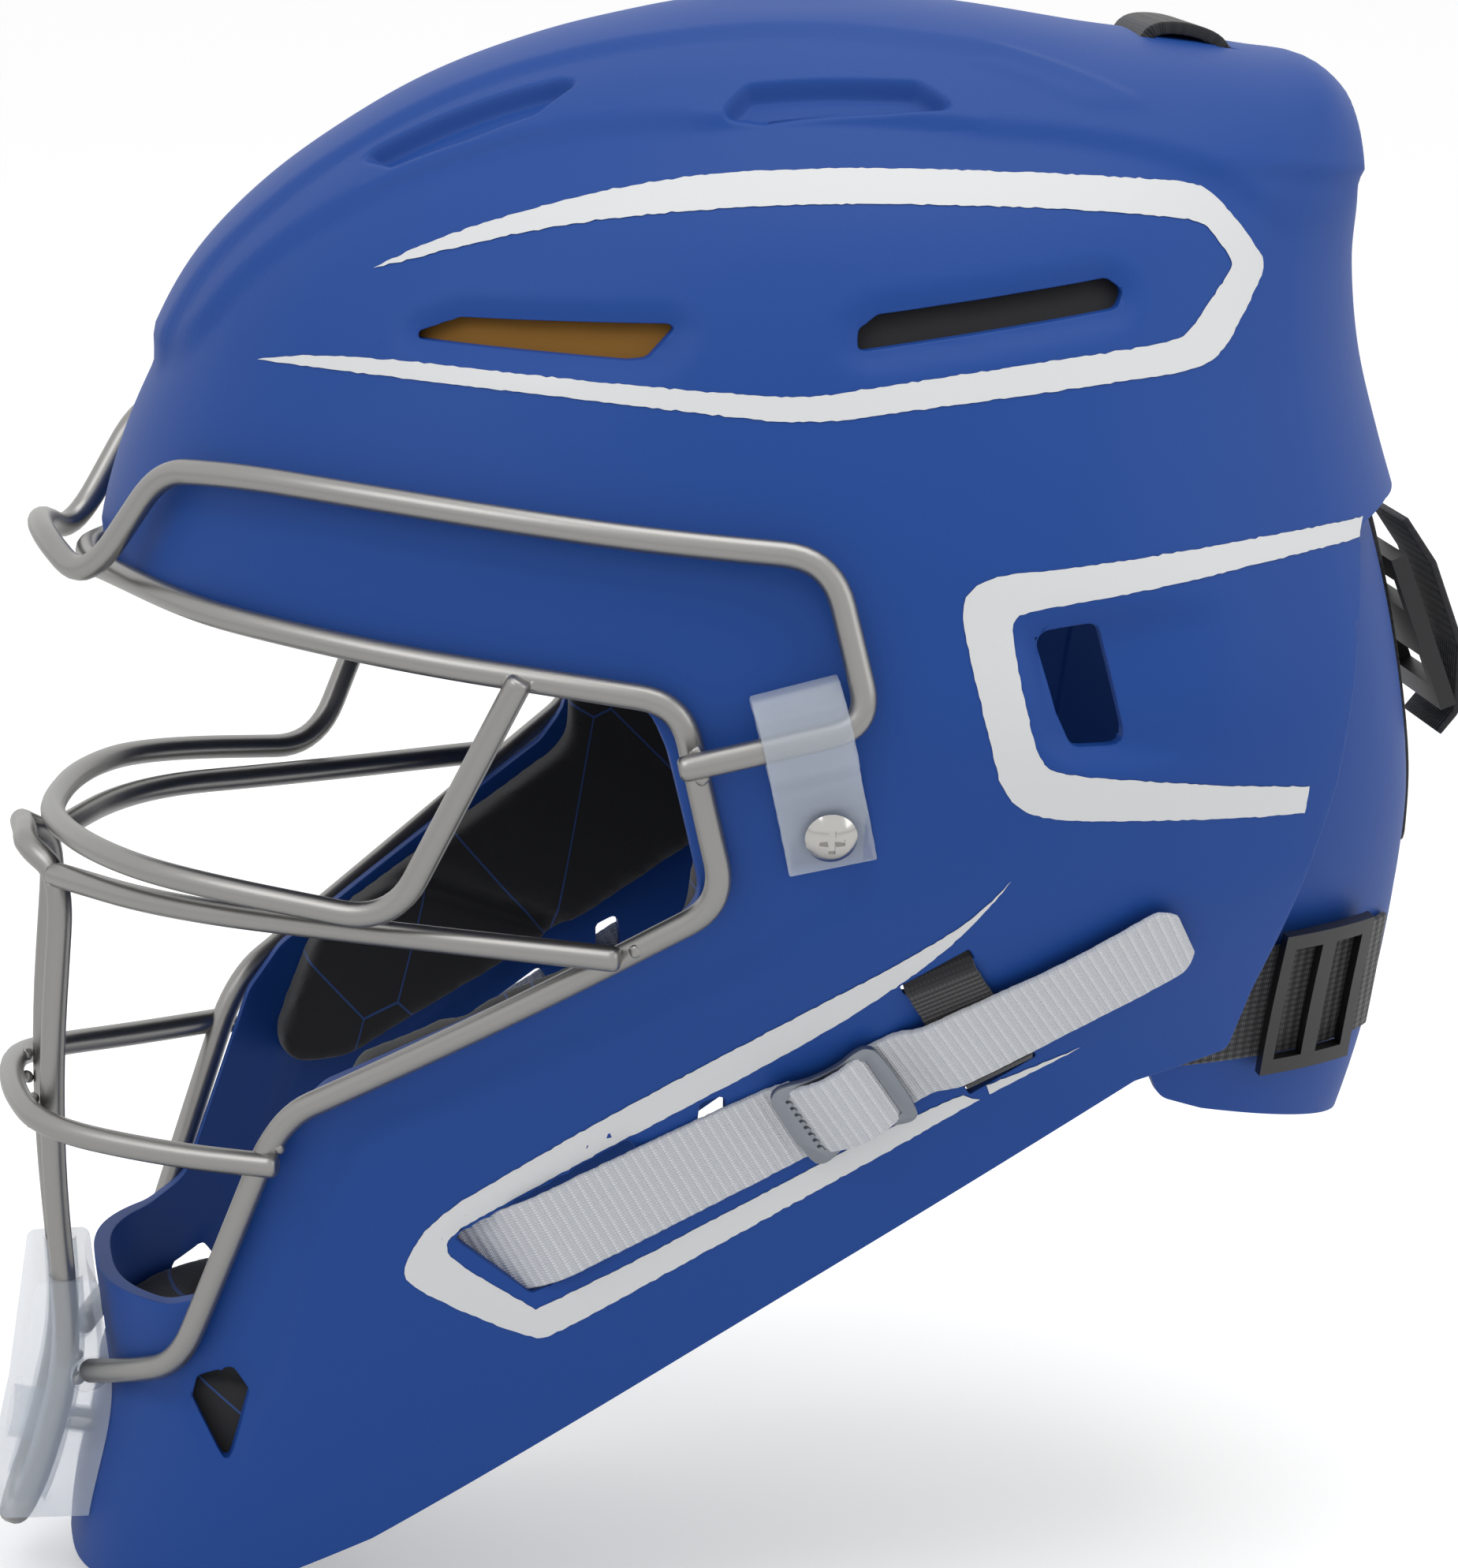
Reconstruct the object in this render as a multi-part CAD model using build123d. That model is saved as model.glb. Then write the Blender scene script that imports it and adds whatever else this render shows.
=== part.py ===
from build123d import *
import math
import os

# A hockey-style catcher's helmet: one moulded shell with a chin cup, a wire
# face cage, a sprung back plate, foam and straps. Sizes are in millimetres.
# X is to the wearer's left, -Y is the face, Z is up, and the origin is the
# middle of the head at eye level.

# The moulded shell
shell_width = 219.0
shell_depth = 275.0
shell_height = 325.0
shell_wall = 3.6
relief_depth = 1.5
crest_rise = 1.4
corner_radius = 3.0
opening_radius = 9.0
ear_radius = 4.0
crown_slot_opening = 3.2
panel_radius = 10.0

# The face cage
wire = 5.2
bend_radius = 12.0
cage_gap = 0.9
near_half = 0.45
gentle_turn = 24.0

# Foam and pads
liner_thickness = 8.0
pad_thickness = 11.0
chin_pad_thickness = 12.0
soft_gap = 0.5
pad_radius = 7.0
pad_draw_share = 0.84
channel_width = 4.0
channel_depth = 4.0

# The back plate
plate_wall = 3.4
plate_side_inset = 13.0
plate_end_inset = 6.4
plate_pad_thickness = 9.0
plate_radius = 12.0

# Straps and buckles
webbing = 1.6
strap_width = 19.0
elastic_width = 27.0
rear_strap_width = 25.0
strap_gap = 0.35
slider_thickness = 2.2
slider_rim = 2.6
slider_length = 27.0
slider_lift = 1.1
keeper_width = 15.0
leg_depth = 1.5
buckle_thickness = 3.6
buckle_rim = 3.5
upper_buckle_length = 35.0
upper_buckle_angle = 70.0

# Clips and fasteners
clip_thickness = 2.6
clip_corner = 2.0
screw_diameter = 5.0
screw_head = 10.3
screw_head_height = 2.4
nut_flange = 14.0
nut_flange_height = 1.4
nut_barrel = 8.0
nut_length = 5.0
thread_gap = 0.1
nut_drop = 0.6
head_lift = 0.1
clip_front = 8.0
drive_width = 1.4
drive_depth = 1.2

# Every cut runs past the face it leaves by this much
overrun = 6.0

half_width = shell_width / 2
plate_narrower = plate_side_inset - plate_end_inset
clip_base = soft_gap - relief_depth

# Rows from the crown down: height, front and back as shares of the shell's
# height and depth, half width and its place as shares, and how square the
# front and back halves of the ring are.
ring_shares = [
    (0.504, -0.015, 0.124, 0.110, 0.055, 2.0, 2.0),
    (0.497, -0.062, 0.189, 0.220, 0.055, 2.0, 2.0),
    (0.483, -0.135, 0.313, 0.338, 0.055, 2.0, 2.0),
    (0.461, -0.211, 0.430, 0.457, 0.055, 2.0, 2.1),
    (0.434, -0.273, 0.473, 0.557, 0.055, 2.0, 2.2),
    (0.394, -0.342, 0.482, 0.676, 0.056, 2.0, 2.2),
    (0.348, -0.396, 0.476, 0.767, 0.060, 2.0, 2.2),
    (0.292, -0.433, 0.480, 0.845, 0.070, 2.05, 2.2),
    (0.237, -0.462, 0.495, 0.909, 0.085, 2.1, 2.2),
    (0.178, -0.480, 0.515, 0.959, 0.100, 2.15, 2.2),
    (0.092, -0.484, 0.538, 1.000, 0.105, 2.2, 2.2),
    (0.000, -0.487, 0.552, 0.941, 0.105, 2.2, 2.2),
    (-0.046, -0.489, 0.550, 0.877, 0.105, 2.2, 2.2),
    (-0.092, -0.491, 0.545, 0.795, 0.100, 2.3, 2.2),
    (-0.148, -0.494, 0.535, 0.708, 0.090, 2.4, 2.2),
    (-0.200, -0.498, 0.520, 0.658, 0.070, 2.5, 2.2),
    (-0.292, -0.505, 0.480, 0.603, 0.020, 2.7, 2.2),
    (-0.380, -0.497, 0.450, 0.560, -0.055, 2.8, 2.2),
    (-0.470, -0.520, 0.420, 0.510, -0.115, 2.8, 2.2),
    (-0.560, -0.526, 0.390, 0.450, -0.170, 2.8, 2.2),
]
ring_points = 13
wide_row_share = 0.08
plate_first_ring = 6
plate_last_ring = 17
form_floor_share = -0.530
profile_samples = 90


def column_value(column, level):
    """One ring value at a height, drawn smoothly through the rows."""
    rows = ring_shares
    last = len(rows) - 1
    level = min(max(level, rows[last][0]), rows[0][0])
    i = 0
    while i < last - 1 and level < rows[i + 1][0]:
        i += 1

    def slope(k):
        low, high = max(k - 1, 0), min(k + 1, last)
        return (rows[high][column] - rows[low][column]) / (rows[high][0] - rows[low][0])

    span = rows[i + 1][0] - rows[i][0]
    t = (level - rows[i][0]) / span
    a, b = rows[i][column], rows[i + 1][column]
    return (a * (1 + 2 * t) * (1 - t) ** 2 + b * t * t * (3 - 2 * t)
            + span * (slope(i) * t * (1 - t) ** 2 - slope(i + 1) * t * t * (1 - t)))


def ring(z):
    """Front, back, half width, widest place and the two powers at height z."""
    level = z / shell_height
    front, back, side, middle, front_power, back_power = [
        column_value(c, level) for c in range(1, 7)]
    return (front * shell_depth, back * shell_depth, side * half_width,
            middle * shell_depth, front_power, back_power)


def skin_x(y, z):
    """Half width of the shell's outer face at a place seen from the side."""
    front, back, side, middle, front_power, back_power = ring(z)
    reach, power = ((middle - front, front_power) if y < middle
                    else (back - middle, back_power))
    t = min(abs(y - middle) / reach, 1)
    return side * (1 - t ** power) ** (1 / power)


def skin_y(x, z, front_side=True):
    """Front or back of the shell's outer face at a place across the head."""
    front, back, side, middle, front_power, back_power = ring(z)
    power = front_power if front_side else back_power
    share = (1 - min(abs(x) / side, 1) ** power) ** (1 / power)
    return middle - (middle - front) * share if front_side else middle + (back - middle) * share


def beside(y, z, off=0):
    """A point on the near side of the shell, a distance off its face."""
    step = shell_depth / profile_samples
    slope_y = (skin_x(y + step, z) - skin_x(y - step, z)) / (2 * step)
    slope_z = (skin_x(y, z + step) - skin_x(y, z - step)) / (2 * step)
    return Vector(skin_x(y, z), y, z) + Vector(1, -slope_y, -slope_z).normalized() * off


def before(x, z, off=0):
    """A point on the front of the shell, a distance off its face."""
    step = shell_depth / profile_samples
    slope_x = (skin_y(x + step, z) - skin_y(x - step, z)) / (2 * step)
    slope_z = (skin_y(x, z + step) - skin_y(x, z - step)) / (2 * step)
    return Vector(x, skin_y(x, z), z) + Vector(slope_x, -1, slope_z).normalized() * off


def inset_profile(column, scale, outward, inset):
    """One side of the shell's outline, drawn in square to itself."""
    low, high = ring_shares[-1][0], ring_shares[0][0]
    levels = [low + (high - low) * k / profile_samples for k in range(profile_samples + 1)]
    raw = [(level * shell_height, column_value(column, level) * scale) for level in levels]
    moved = []
    for k, (z, value) in enumerate(raw):
        before_it, after_it = raw[max(k - 1, 0)], raw[min(k + 1, profile_samples)]
        run, rise = after_it[1] - before_it[1], after_it[0] - before_it[0]
        length = math.hypot(run, rise)
        moved.append((z + outward * run / length * inset,
                      value - outward * rise / length * inset))
    return moved


def read_profile(points, z):
    """The value of a drawn-in outline at height z."""
    for (z0, v0), (z1, v1) in zip(points, points[1:]):
        if z0 <= z <= z1:
            return v0 + (v1 - v0) * (z - z0) / (z1 - z0)
    return points[0][1] if z < points[0][0] else points[-1][1]


def ring_face(z, front, back, side, middle, front_power, back_power):
    """One level ring of the near half, its curve run one point past the middle plane each way."""
    points, places = [], []
    for k in range(-1, ring_points + 1):
        angle = math.pi * k / (ring_points - 1)
        in_front = 2 * k < ring_points - 1
        power = front_power if in_front else back_power
        share = abs(math.cos(angle)) ** (2 / power)
        along = middle - (middle - front) * share if in_front else middle + (back - middle) * share
        across = side * math.copysign(abs(math.sin(angle)) ** (2 / power), math.sin(angle))
        points.append(Vector(across, along, z))
        places.append((k + 1) / (ring_points + 1))
    curve = Edge.make_spline(points, parameters=places)
    return make_face([curve, Edge.make_line(points[-1], points[0])])


def form_levels():
    """The heights of the rows as shares, with one more between two that lie far apart."""
    levels = [row[0] for row in ring_shares]
    between = [(a + b) / 2 for a, b in zip(levels, levels[1:]) if a - b > wide_row_share]
    return sorted(levels + between, reverse=True)


def form(inset):
    """The near half of the shell's outer form, drawn in by an inset or grown by a negative one."""
    front_line = inset_profile(1, shell_depth, -1, inset)
    back_line = inset_profile(2, shell_depth, 1, inset)
    side_line = inset_profile(3, half_width, 1, inset)
    top = ring_shares[0][0] * shell_height - inset
    bottom = ring_shares[-1][0] * shell_height - inset
    faces = []
    for level in form_levels():
        share = (level - ring_shares[-1][0]) / (ring_shares[0][0] - ring_shares[-1][0])
        z = bottom + share * (top - bottom)
        middle, front_power, back_power = [column_value(c, level) for c in range(4, 7)]
        faces.append(ring_face(z, read_profile(front_line, z), read_profile(back_line, z),
                               read_profile(side_line, z), middle * shell_depth, front_power, back_power))
    return loft(faces)


def plate_form(inset):
    """The near half of the form the back plate follows, narrower than the shell."""
    faces = []
    for row in ring_shares[plate_first_ring:plate_last_ring]:
        level, front, back, side, middle, front_power, back_power = row
        faces.append(ring_face(level * shell_height, front * shell_depth + inset, back * shell_depth - inset,
                               side * half_width - inset - plate_narrower, middle * shell_depth,
                               front_power, back_power))
    return loft(faces)


def near_room():
    """The room on the near side of the middle plane, above the forms' open bottom."""
    return Location((0, 0, form_floor_share * shell_height)) * Box(
        2 * shell_depth, 2 * shell_depth, 2 * shell_height,
        align=(Align.MIN, Align.CENTER, Align.MIN))


def side_outline(shares, radius):
    """A rounded outline seen from the side, from shares of the shell's depth and height."""
    points = [(0, y * shell_depth, z * shell_height) for y, z in shares]
    return make_face(FilletPolyline(*points, radius=radius, close=True))


def side_prism(shares, radius, start=-overrun):
    """A rounded side outline run out from the middle plane, or from a start beside it."""
    face = side_outline(shares, radius)
    reach = half_width + overrun
    return extrude(face.moved(Location((start, 0, 0))), amount=reach - start, dir=(1, 0, 0))


def top_prism(shares, radius, floor_share):
    """A rounded outline seen from above, run up from a floor through the crown."""
    floor = floor_share * shell_height
    points = [(x * half_width, y * shell_depth, floor) for x, y in shares]
    face = make_face(FilletPolyline(*points, radius=radius, close=True))
    return extrude(face, amount=shell_height, dir=(0, 0, 1))


def mirrored(solid):
    """The same piece on the other side of the head."""
    return mirror(solid, about=Plane.YZ)


def single(shape):
    """The largest solid of a shape, for a cut that leaves slivers."""
    return max(shape.solids(), key=lambda s: s.volume)


forms = {}
skins = {}


def cached_form(inset, make=form):
    """A form that several pieces share, lofted once."""
    key = (make, inset)
    if key not in forms:
        forms[key] = make(inset)
    return forms[key]


def skin(outside, inside, make=form):
    """The near half of the wall between two insets of a form, made once."""
    key = (make, outside, inside)
    if key not in skins:
        outer, inner = [cached_form(inset, make) & near_room() for inset in (outside, inside)]
        skins[key] = outer - inner
    return skins[key]


def layer(prism, outside, inside, make=form):
    """The part of a prism that lies between two insets of a form."""
    return single(skin(outside, inside, make) & prism)


def stretch(first, last, width):
    """A straight band seen from the side, as a prism across the near half."""
    (y0, z0), (y1, z1) = [(y * shell_depth, z * shell_height) for y, z in (first, last)]
    length = math.hypot(y1 - y0, z1 - z0)
    angle = math.degrees(math.atan2(z1 - z0, y1 - y0))
    plane = Plane(origin=(0, (y0 + y1) / 2, (z0 + z1) / 2), x_dir=(0, 1, 0), z_dir=(1, 0, 0))
    face = plane * (Rot(0, 0, angle) * Rectangle(length, width))
    return extrude(face, amount=half_width + overrun, dir=(1, 0, 0))


# Openings and raised or sunk areas of the shell, seen from the side, as
# shares of its depth and height.
face_shares = [(-0.720, 0.152), (-0.455, 0.154), (-0.290, 0.142), (-0.084, 0.116),
               (-0.062, 0.088), (-0.060, -0.010), (-0.105, -0.036), (-0.335, -0.140),
               (-0.362, -0.166), (-0.418, -0.288), (-0.450, -0.300), (-0.720, -0.300)]
lower_shares = [(-0.720, -0.495), (-0.480, -0.495), (-0.385, -0.478), (-0.305, -0.446),
                (0.262, -0.150), (0.336, -0.135), (0.348, -0.092), (0.400, 0.045),
                (0.418, 0.120), (0.432, 0.196), (0.470, 0.203), (0.720, 0.203),
                (0.720, -0.720), (-0.720, -0.720)]
relief_shares = [(-0.720, 0.172), (-0.484, 0.176), (-0.432, 0.244), (-0.220, 0.214),
                 (-0.016, 0.186), (0.040, 0.148), (0.056, 0.100), (0.056, -0.004),
                 (-0.036, -0.050), (-0.310, -0.176), (-0.350, -0.262), (-0.378, -0.366),
                 (-0.720, -0.386)]
front_vent_shares = [(-0.275, 0.338), (-0.255, 0.348), (-0.100, 0.340),
                     (-0.112, 0.322), (-0.135, 0.318)]
back_vent_shares = [(0.032, 0.322), (0.042, 0.338), (0.206, 0.362),
                    (0.220, 0.350), (0.214, 0.338), (0.040, 0.318)]
ear_shares = [(0.154, 0.164), (0.200, 0.166), (0.226, 0.086), (0.172, 0.088)]
ear_scoop_shares = [(0.134, 0.176), (0.290, 0.182), (0.288, 0.070), (0.156, 0.074)]
chin_vent_shares = [(-0.436, -0.342), (-0.402, -0.332), (-0.390, -0.352), (-0.410, -0.402)]
strap_slot_shares = [(-0.242, -0.246), (-0.172, -0.288), (-0.152, -0.264), (-0.222, -0.224)]
strap_hole_shares = [(-0.064, -0.148), (-0.040, -0.142), (-0.042, -0.158), (-0.064, -0.162)]

# Crown features seen from above: shares of the half width and of the depth
crest_shares = [(-0.10, -0.470), (0.20, -0.436), (0.42, -0.300), (0.50, -0.120),
                (0.53, 0.150), (0.51, 0.380), (0.42, 0.462), (-0.10, 0.474)]
crown_front_vent_shares = [(0.24, -0.300), (0.33, -0.296), (0.44, -0.160), (0.36, -0.146)]
crown_back_vent_shares = [(0.34, -0.030), (0.44, -0.020), (0.46, 0.120), (0.36, 0.132)]
crown_floor_share = 0.300
crown_slot_front_share = 0.312
crown_slot_back_share = 0.372
near_side_share = 0.380


def crown_slots():
    """The two slots that the crown strap passes through."""
    width = rear_strap_width + 2 * soft_gap
    solids = []
    for share in (crown_slot_front_share, crown_slot_back_share):
        floor = Location((0, share * shell_depth, shell_height * crown_floor_share))
        solids.append(floor * Box(width, crown_slot_opening, shell_height,
                                  align=(Align.CENTER, Align.CENTER, Align.MIN)))
    return solids


def seat_plane(shares, off=0):
    """A seat on the near side of the shell, looking out square to its face."""
    y, z = shares[0] * shell_depth, shares[1] * shell_height
    seat = beside(y, z, off)
    return Plane(origin=seat, z_dir=beside(y, z, off + 1) - seat)


clip_screw_share = (0.008, 0.042)


def outer_shell():
    """The moulded shell with its chin cup, vents, ear openings and slots."""
    start = near_side_share * half_width
    dish = skin(0, relief_depth) & side_prism(ear_scoop_shares, corner_radius, start)
    sunk = skin(0, relief_depth) & side_prism(relief_shares, panel_radius)
    crest = skin(-crest_rise, shell_wall / 2) & top_prism(crest_shares, corner_radius, crown_floor_share)
    shell = skin(0, shell_wall) - sunk - side_prism(face_shares, opening_radius)
    shell = shell - side_prism(lower_shares, corner_radius) - dish + crest
    cuts = [top_prism(crown_front_vent_shares, corner_radius, crown_floor_share),
            top_prism(crown_back_vent_shares, corner_radius, crown_floor_share)]
    small = corner_radius / 2
    for shares, radius in ((front_vent_shares, small), (back_vent_shares, small),
                           (ear_shares, ear_radius), (chin_vent_shares, small),
                           (strap_slot_shares, small), (strap_hole_shares, small / 2)):
        cuts.append(side_prism(shares, radius, small))
    for seat in (seat_plane(clip_screw_share), chin_seat(0)):
        cuts.append(seat * Cylinder(screw_diameter / 2 + soft_gap, 4 * overrun))
    for cut in cuts + crown_slots() + strap_slots():
        shell = shell - cut
    return whole(single(shell))


def whole(half):
    """A near half joined to its mirror image at the middle plane."""
    return single(half + mirrored(half))


# The cage. Points beside the shell are shares of its depth and height and
# stand off its face. Free points are shares of half width, depth and height.
perimeter_side_shares = [(-0.400, 0.158), (-0.345, 0.152), (-0.290, 0.146), (-0.240, 0.141),
                         (-0.190, 0.135), (-0.088, 0.118),
                         (-0.070, 0.046), (-0.062, -0.003), (-0.136, -0.046), (-0.329, -0.139),
                         (-0.360, -0.166), (-0.420, -0.288), (-0.462, -0.338)]
perimeter_front_shares = [(0.080, 0.158), (0.240, 0.158), (0.400, 0.159)]
perimeter_end_share = (0.155, -0.512, -0.366)
visor_side_shares = [(-0.078, 0.074), (0.030, 0.094), (0.042, 0.134), (0.014, 0.186), (-0.020, 0.208),
                     (-0.160, 0.226), (-0.290, 0.238)]
visor_free_shares = [(0.452, -0.438, 0.247), (0.300, -0.508, 0.182), (0.120, -0.535, 0.182)]
eye_bar_side_share = (-0.190, 0.135)
eye_free_shares = [(0.680, -0.290, -0.018), (0.548, -0.424, -0.008), (0.345, -0.505, -0.003)]
lower_eye_free_shares = [(0.155, -0.518, -0.034), (0.457, -0.448, -0.036), (0.657, -0.320, -0.038)]
lower_eye_side_share = (-0.136, -0.046)
chin_bar_free_shares = [(0.440, -0.460, -0.188), (0.310, -0.533, -0.180)]
chin_bar_side_share = (-0.375, -0.195)
loop_free_shares = [(0.128, -0.518, -0.048), (0.128, -0.529, -0.190), (0.124, -0.521, -0.355),
                    (0.106, -0.545, -0.430), (0.070, -0.562, -0.468)]
loop_top_share = (0.085, -0.552, -0.022)


def free_point(share):
    """A point in the room round the head, from shares of the shell's sizes."""
    x, y, z = share
    return Vector(x * half_width, y * shell_depth, z * shell_height)


def flipped(points):
    """The same points on the other side of the head, in the other order."""
    return [Vector(-p.X, p.Y, p.Z) for p in reversed(points)]


def on_side(share, off):
    """A point beside the shell, a distance off its face."""
    return beside(share[0] * shell_depth, share[1] * shell_height, off)


def tube(points, diameter, bend, close=False):
    """A round wire along straight runs joined by bends that fit their runs."""
    corners = list(range(len(points))) if close else list(range(1, len(points) - 1))
    radii = []
    for i in corners:
        a, b, c = points[i - 1], points[i], points[(i + 1) % len(points)]
        turn = (b - a).get_angle(c - b)
        limit = near_half * min((b - a).length, (c - b).length) / math.tan(math.radians(turn) / 2)
        radii.append(limit if turn < gentle_turn else min(bend, limit))
    path = FilletPolyline(*points, radius=radii, close=close)
    start = Plane(origin=path @ 0, z_dir=path % 0)
    return sweep(start * Circle(diameter / 2), path=path)


def perimeter_half():
    """The near half of the bar round the face opening, from the brow to the chin."""
    off = wire / 2 + cage_gap - relief_depth
    brow = [before(x * half_width, z * shell_height, off) for x, z in perimeter_front_shares]
    return brow + [on_side(s, off) for s in perimeter_side_shares] + [free_point(perimeter_end_share)]


def visor_half():
    """The near half of the visor bar, from its weld through the clip to the brow."""
    stand = clip_base + clip_thickness + cage_gap + wire / 2
    seat = wire / 2 + 3 * cage_gap
    half = [on_side(s, stand if i < 4 else seat) for i, s in enumerate(visor_side_shares)]
    return half + [free_point(s) for s in visor_free_shares]


def loop_half():
    """The near half of the upright loop that stands in front of the chin."""
    return [free_point(loop_top_share)] + [free_point(s) for s in loop_free_shares]


def cage():
    """The welded wires of the face cage, one solid for each bent wire."""
    off = wire / 2 + cage_gap - relief_depth
    half = perimeter_half()
    perimeter = tube(flipped(half) + half, wire, bend_radius)
    half = visor_half()
    visor = tube(half + flipped(half), wire, bend_radius)
    half = [on_side(eye_bar_side_share, off)] + [free_point(s) for s in eye_free_shares]
    eye = tube(half + flipped(half), wire, bend_radius)
    half = [free_point(s) for s in lower_eye_free_shares] + [on_side(lower_eye_side_share, off)]
    lower_eye = tube(half, wire, bend_radius)
    half = [on_side(chin_bar_side_share, off)] + [free_point(s) for s in chin_bar_free_shares]
    chin = tube(half + flipped(half), wire, bend_radius)
    half = loop_half()
    loop = tube(half + flipped(half), wire, bend_radius, close=True)
    return {"perimeter_bar": perimeter, "visor_bar": visor, "eye_bar": eye,
            "lower_eye_bar_left": lower_eye, "lower_eye_bar_right": mirrored(lower_eye),
            "chin_bar": chin, "chin_loop": loop}


# Clips, screws and nuts
clip_upper_shares = [(-0.058, 0.110), (0.026, 0.130), (0.042, 0.060), (-0.032, 0.046)]
clip_lower_shares = [(-0.045, 0.085), (0.030, 0.098), (0.047, 0.034), (-0.012, 0.016)]
chin_clip_shares = [(-0.548, -0.300), (-0.500, -0.300), (-0.490, -0.380), (-0.500, -0.460),
                    (-0.582, -0.458), (-0.566, -0.400)]
chin_screw_share = -0.415


def screw_at(plane, grip):
    """A truss-head screw: domed head with a cross recess, and its shank through a grip."""
    radius = screw_head / 2
    dome = (radius ** 2 + screw_head_height ** 2) / (2 * screw_head_height)
    ball = Location((0, 0, screw_head_height - dome)) * Sphere(dome)
    head = ball & Cylinder(radius, screw_head_height, align=(Align.CENTER, Align.CENTER, Align.MIN))
    shank = Location((0, 0, -grip)) * Cylinder(
        screw_diameter / 2, grip, align=(Align.CENTER, Align.CENTER, Align.MIN))
    top = Location((0, 0, screw_head_height - drive_depth))
    for long_way in (True, False):
        size = (screw_diameter, drive_width) if long_way else (drive_width, screw_diameter)
        head = head - top * Box(*size, screw_head_height, align=(Align.CENTER, Align.CENTER, Align.MIN))
    return plane * (head + shank)


def nut_at(plane):
    """A T-nut: a wide flange against the inner wall with a barrel round the shank."""
    flange = Location((0, 0, -nut_flange_height)) * Cylinder(
        nut_flange / 2, nut_flange_height, align=(Align.CENTER, Align.CENTER, Align.MIN))
    barrel = Location((0, 0, -nut_length)) * Cylinder(
        nut_barrel / 2, nut_length, align=(Align.CENTER, Align.CENTER, Align.MIN))
    hole = Cylinder(screw_diameter / 2 + thread_gap, 4 * nut_length)
    return plane * (flange + barrel - hole)


def side_clip(visor):
    """The near J clip: a block moulded round the bar and a tongue under the screw."""
    full = 2 * clip_thickness + wire + 2 * cage_gap
    upper = layer(side_prism(clip_upper_shares, clip_corner), -clip_base - full, -clip_base)
    tongue = layer(side_prism(clip_lower_shares, clip_corner), -clip_base - clip_thickness, -clip_base)
    shank, head = head_room(seat_plane(clip_screw_share, clip_base + clip_thickness + head_lift))
    return single(upper + tongue - visor - shank - head)


def chin_seat(off):
    """A seat on the front of the chin cup, looking out square to its face."""
    feet = []
    for z in (chin_screw_share * shell_height, chin_screw_share * shell_height + screw_head):
        sight = Edge.make_line(Vector(0, -shell_depth, z), Vector(0, 0, z)) & cached_form(0)
        feet.append(min((Vector(v) for v in sight.vertices()), key=lambda place: place.Y))
    up = (feet[1] - feet[0]).normalized()
    out = Vector(0, -up.Z, up.Y)
    return Plane(origin=feet[0] + out * off, x_dir=(1, 0, 0), z_dir=out)


def head_room(seat):
    """The room a clip leaves for a screw: its shank below the seat and its head above it."""
    shank = seat * Cylinder(screw_diameter / 2 + soft_gap, 8 * overrun)
    head = seat * Cylinder(screw_head / 2 + soft_gap, 2 * overrun, align=(Align.CENTER, Align.CENTER, Align.MIN))
    return shank, head


def clips():
    """The clips that hold the cage to the shell, with their screws and nuts."""
    near = side_clip(visor_channel())
    outline = side_outline(chin_clip_shares, clip_corner)
    width = loop_free_shares[0][0] * half_width + wire / 2 + clip_thickness
    block = extrude(outline.moved(Location((-overrun, 0, 0))), amount=width + overrun, dir=(1, 0, 0))
    block = (block - cached_form(-soft_gap)) & near_room()
    block = whole(single(block)) - loop_channel() - perimeter_channel()
    shank, head = head_room(chin_seat(clip_front))
    block = single(block - shank - head)
    head_seat = seat_plane(clip_screw_share, clip_base + clip_thickness + head_lift)
    grip = clip_thickness + shell_wall + nut_length
    screw = screw_at(head_seat, grip)
    nut = nut_at(seat_plane(clip_screw_share, -shell_wall - nut_drop))
    chin_grip = clip_front + shell_wall + nut_length
    return {"side_clip_left": near, "side_clip_right": mirrored(near), "chin_clip": block,
            "clip_screws": [screw, mirrored(screw), screw_at(chin_seat(clip_front), chin_grip)],
            "clip_nuts": [nut, mirrored(nut), nut_at(chin_seat(-shell_wall - nut_drop))]}


def fat_tube(points, close=False):
    """The room a clip leaves round a wire."""
    return tube(points, wire + 2 * cage_gap, bend_radius, close)


def visor_channel():
    """The room round the near leg of the visor bar."""
    return fat_tube(visor_half()[:5])


def loop_channel():
    """The room round the chin loop."""
    half = loop_half()
    return fat_tube(half + flipped(half), close=True)


def perimeter_channel():
    """The room round both lower ends of the perimeter bar."""
    near = fat_tube(perimeter_half()[-4:])
    return near + mirrored(near)


# Foam and pads, seen from the side, from above or from the end
front_liner_shares = [(-0.262, 0.286), (-0.262, 0.392), (-0.060, 0.410), (-0.060, 0.286)]
back_liner_shares = [(-0.036, 0.286), (-0.036, 0.424), (0.290, 0.408), (0.300, 0.290)]
temple_pad_shares = [(-0.100, 0.176), (-0.090, 0.264), (0.130, 0.268), (0.134, 0.176)]
jaw_pad_shares = [(-0.078, 0.072), (-0.080, -0.022), (-0.325, -0.134), (-0.378, -0.230),
                  (-0.300, -0.228), (-0.070, -0.134), (0.050, -0.080), (0.110, 0.072)]
crown_pad_shares = [(-0.10, -0.200), (0.30, -0.200), (0.32, 0.250), (-0.10, 0.250)]
brow_pad_shares = [(-0.10, 0.196), (0.52, 0.196), (0.46, 0.262), (-0.10, 0.270)]
back_pad_shares = [(-0.10, 0.290), (0.40, 0.290), (0.40, 0.380), (-0.10, 0.380)]
plate_pad_shares = [(-0.10, -0.130), (0.34, -0.120), (0.40, 0.100), (-0.10, 0.110)]
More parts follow.
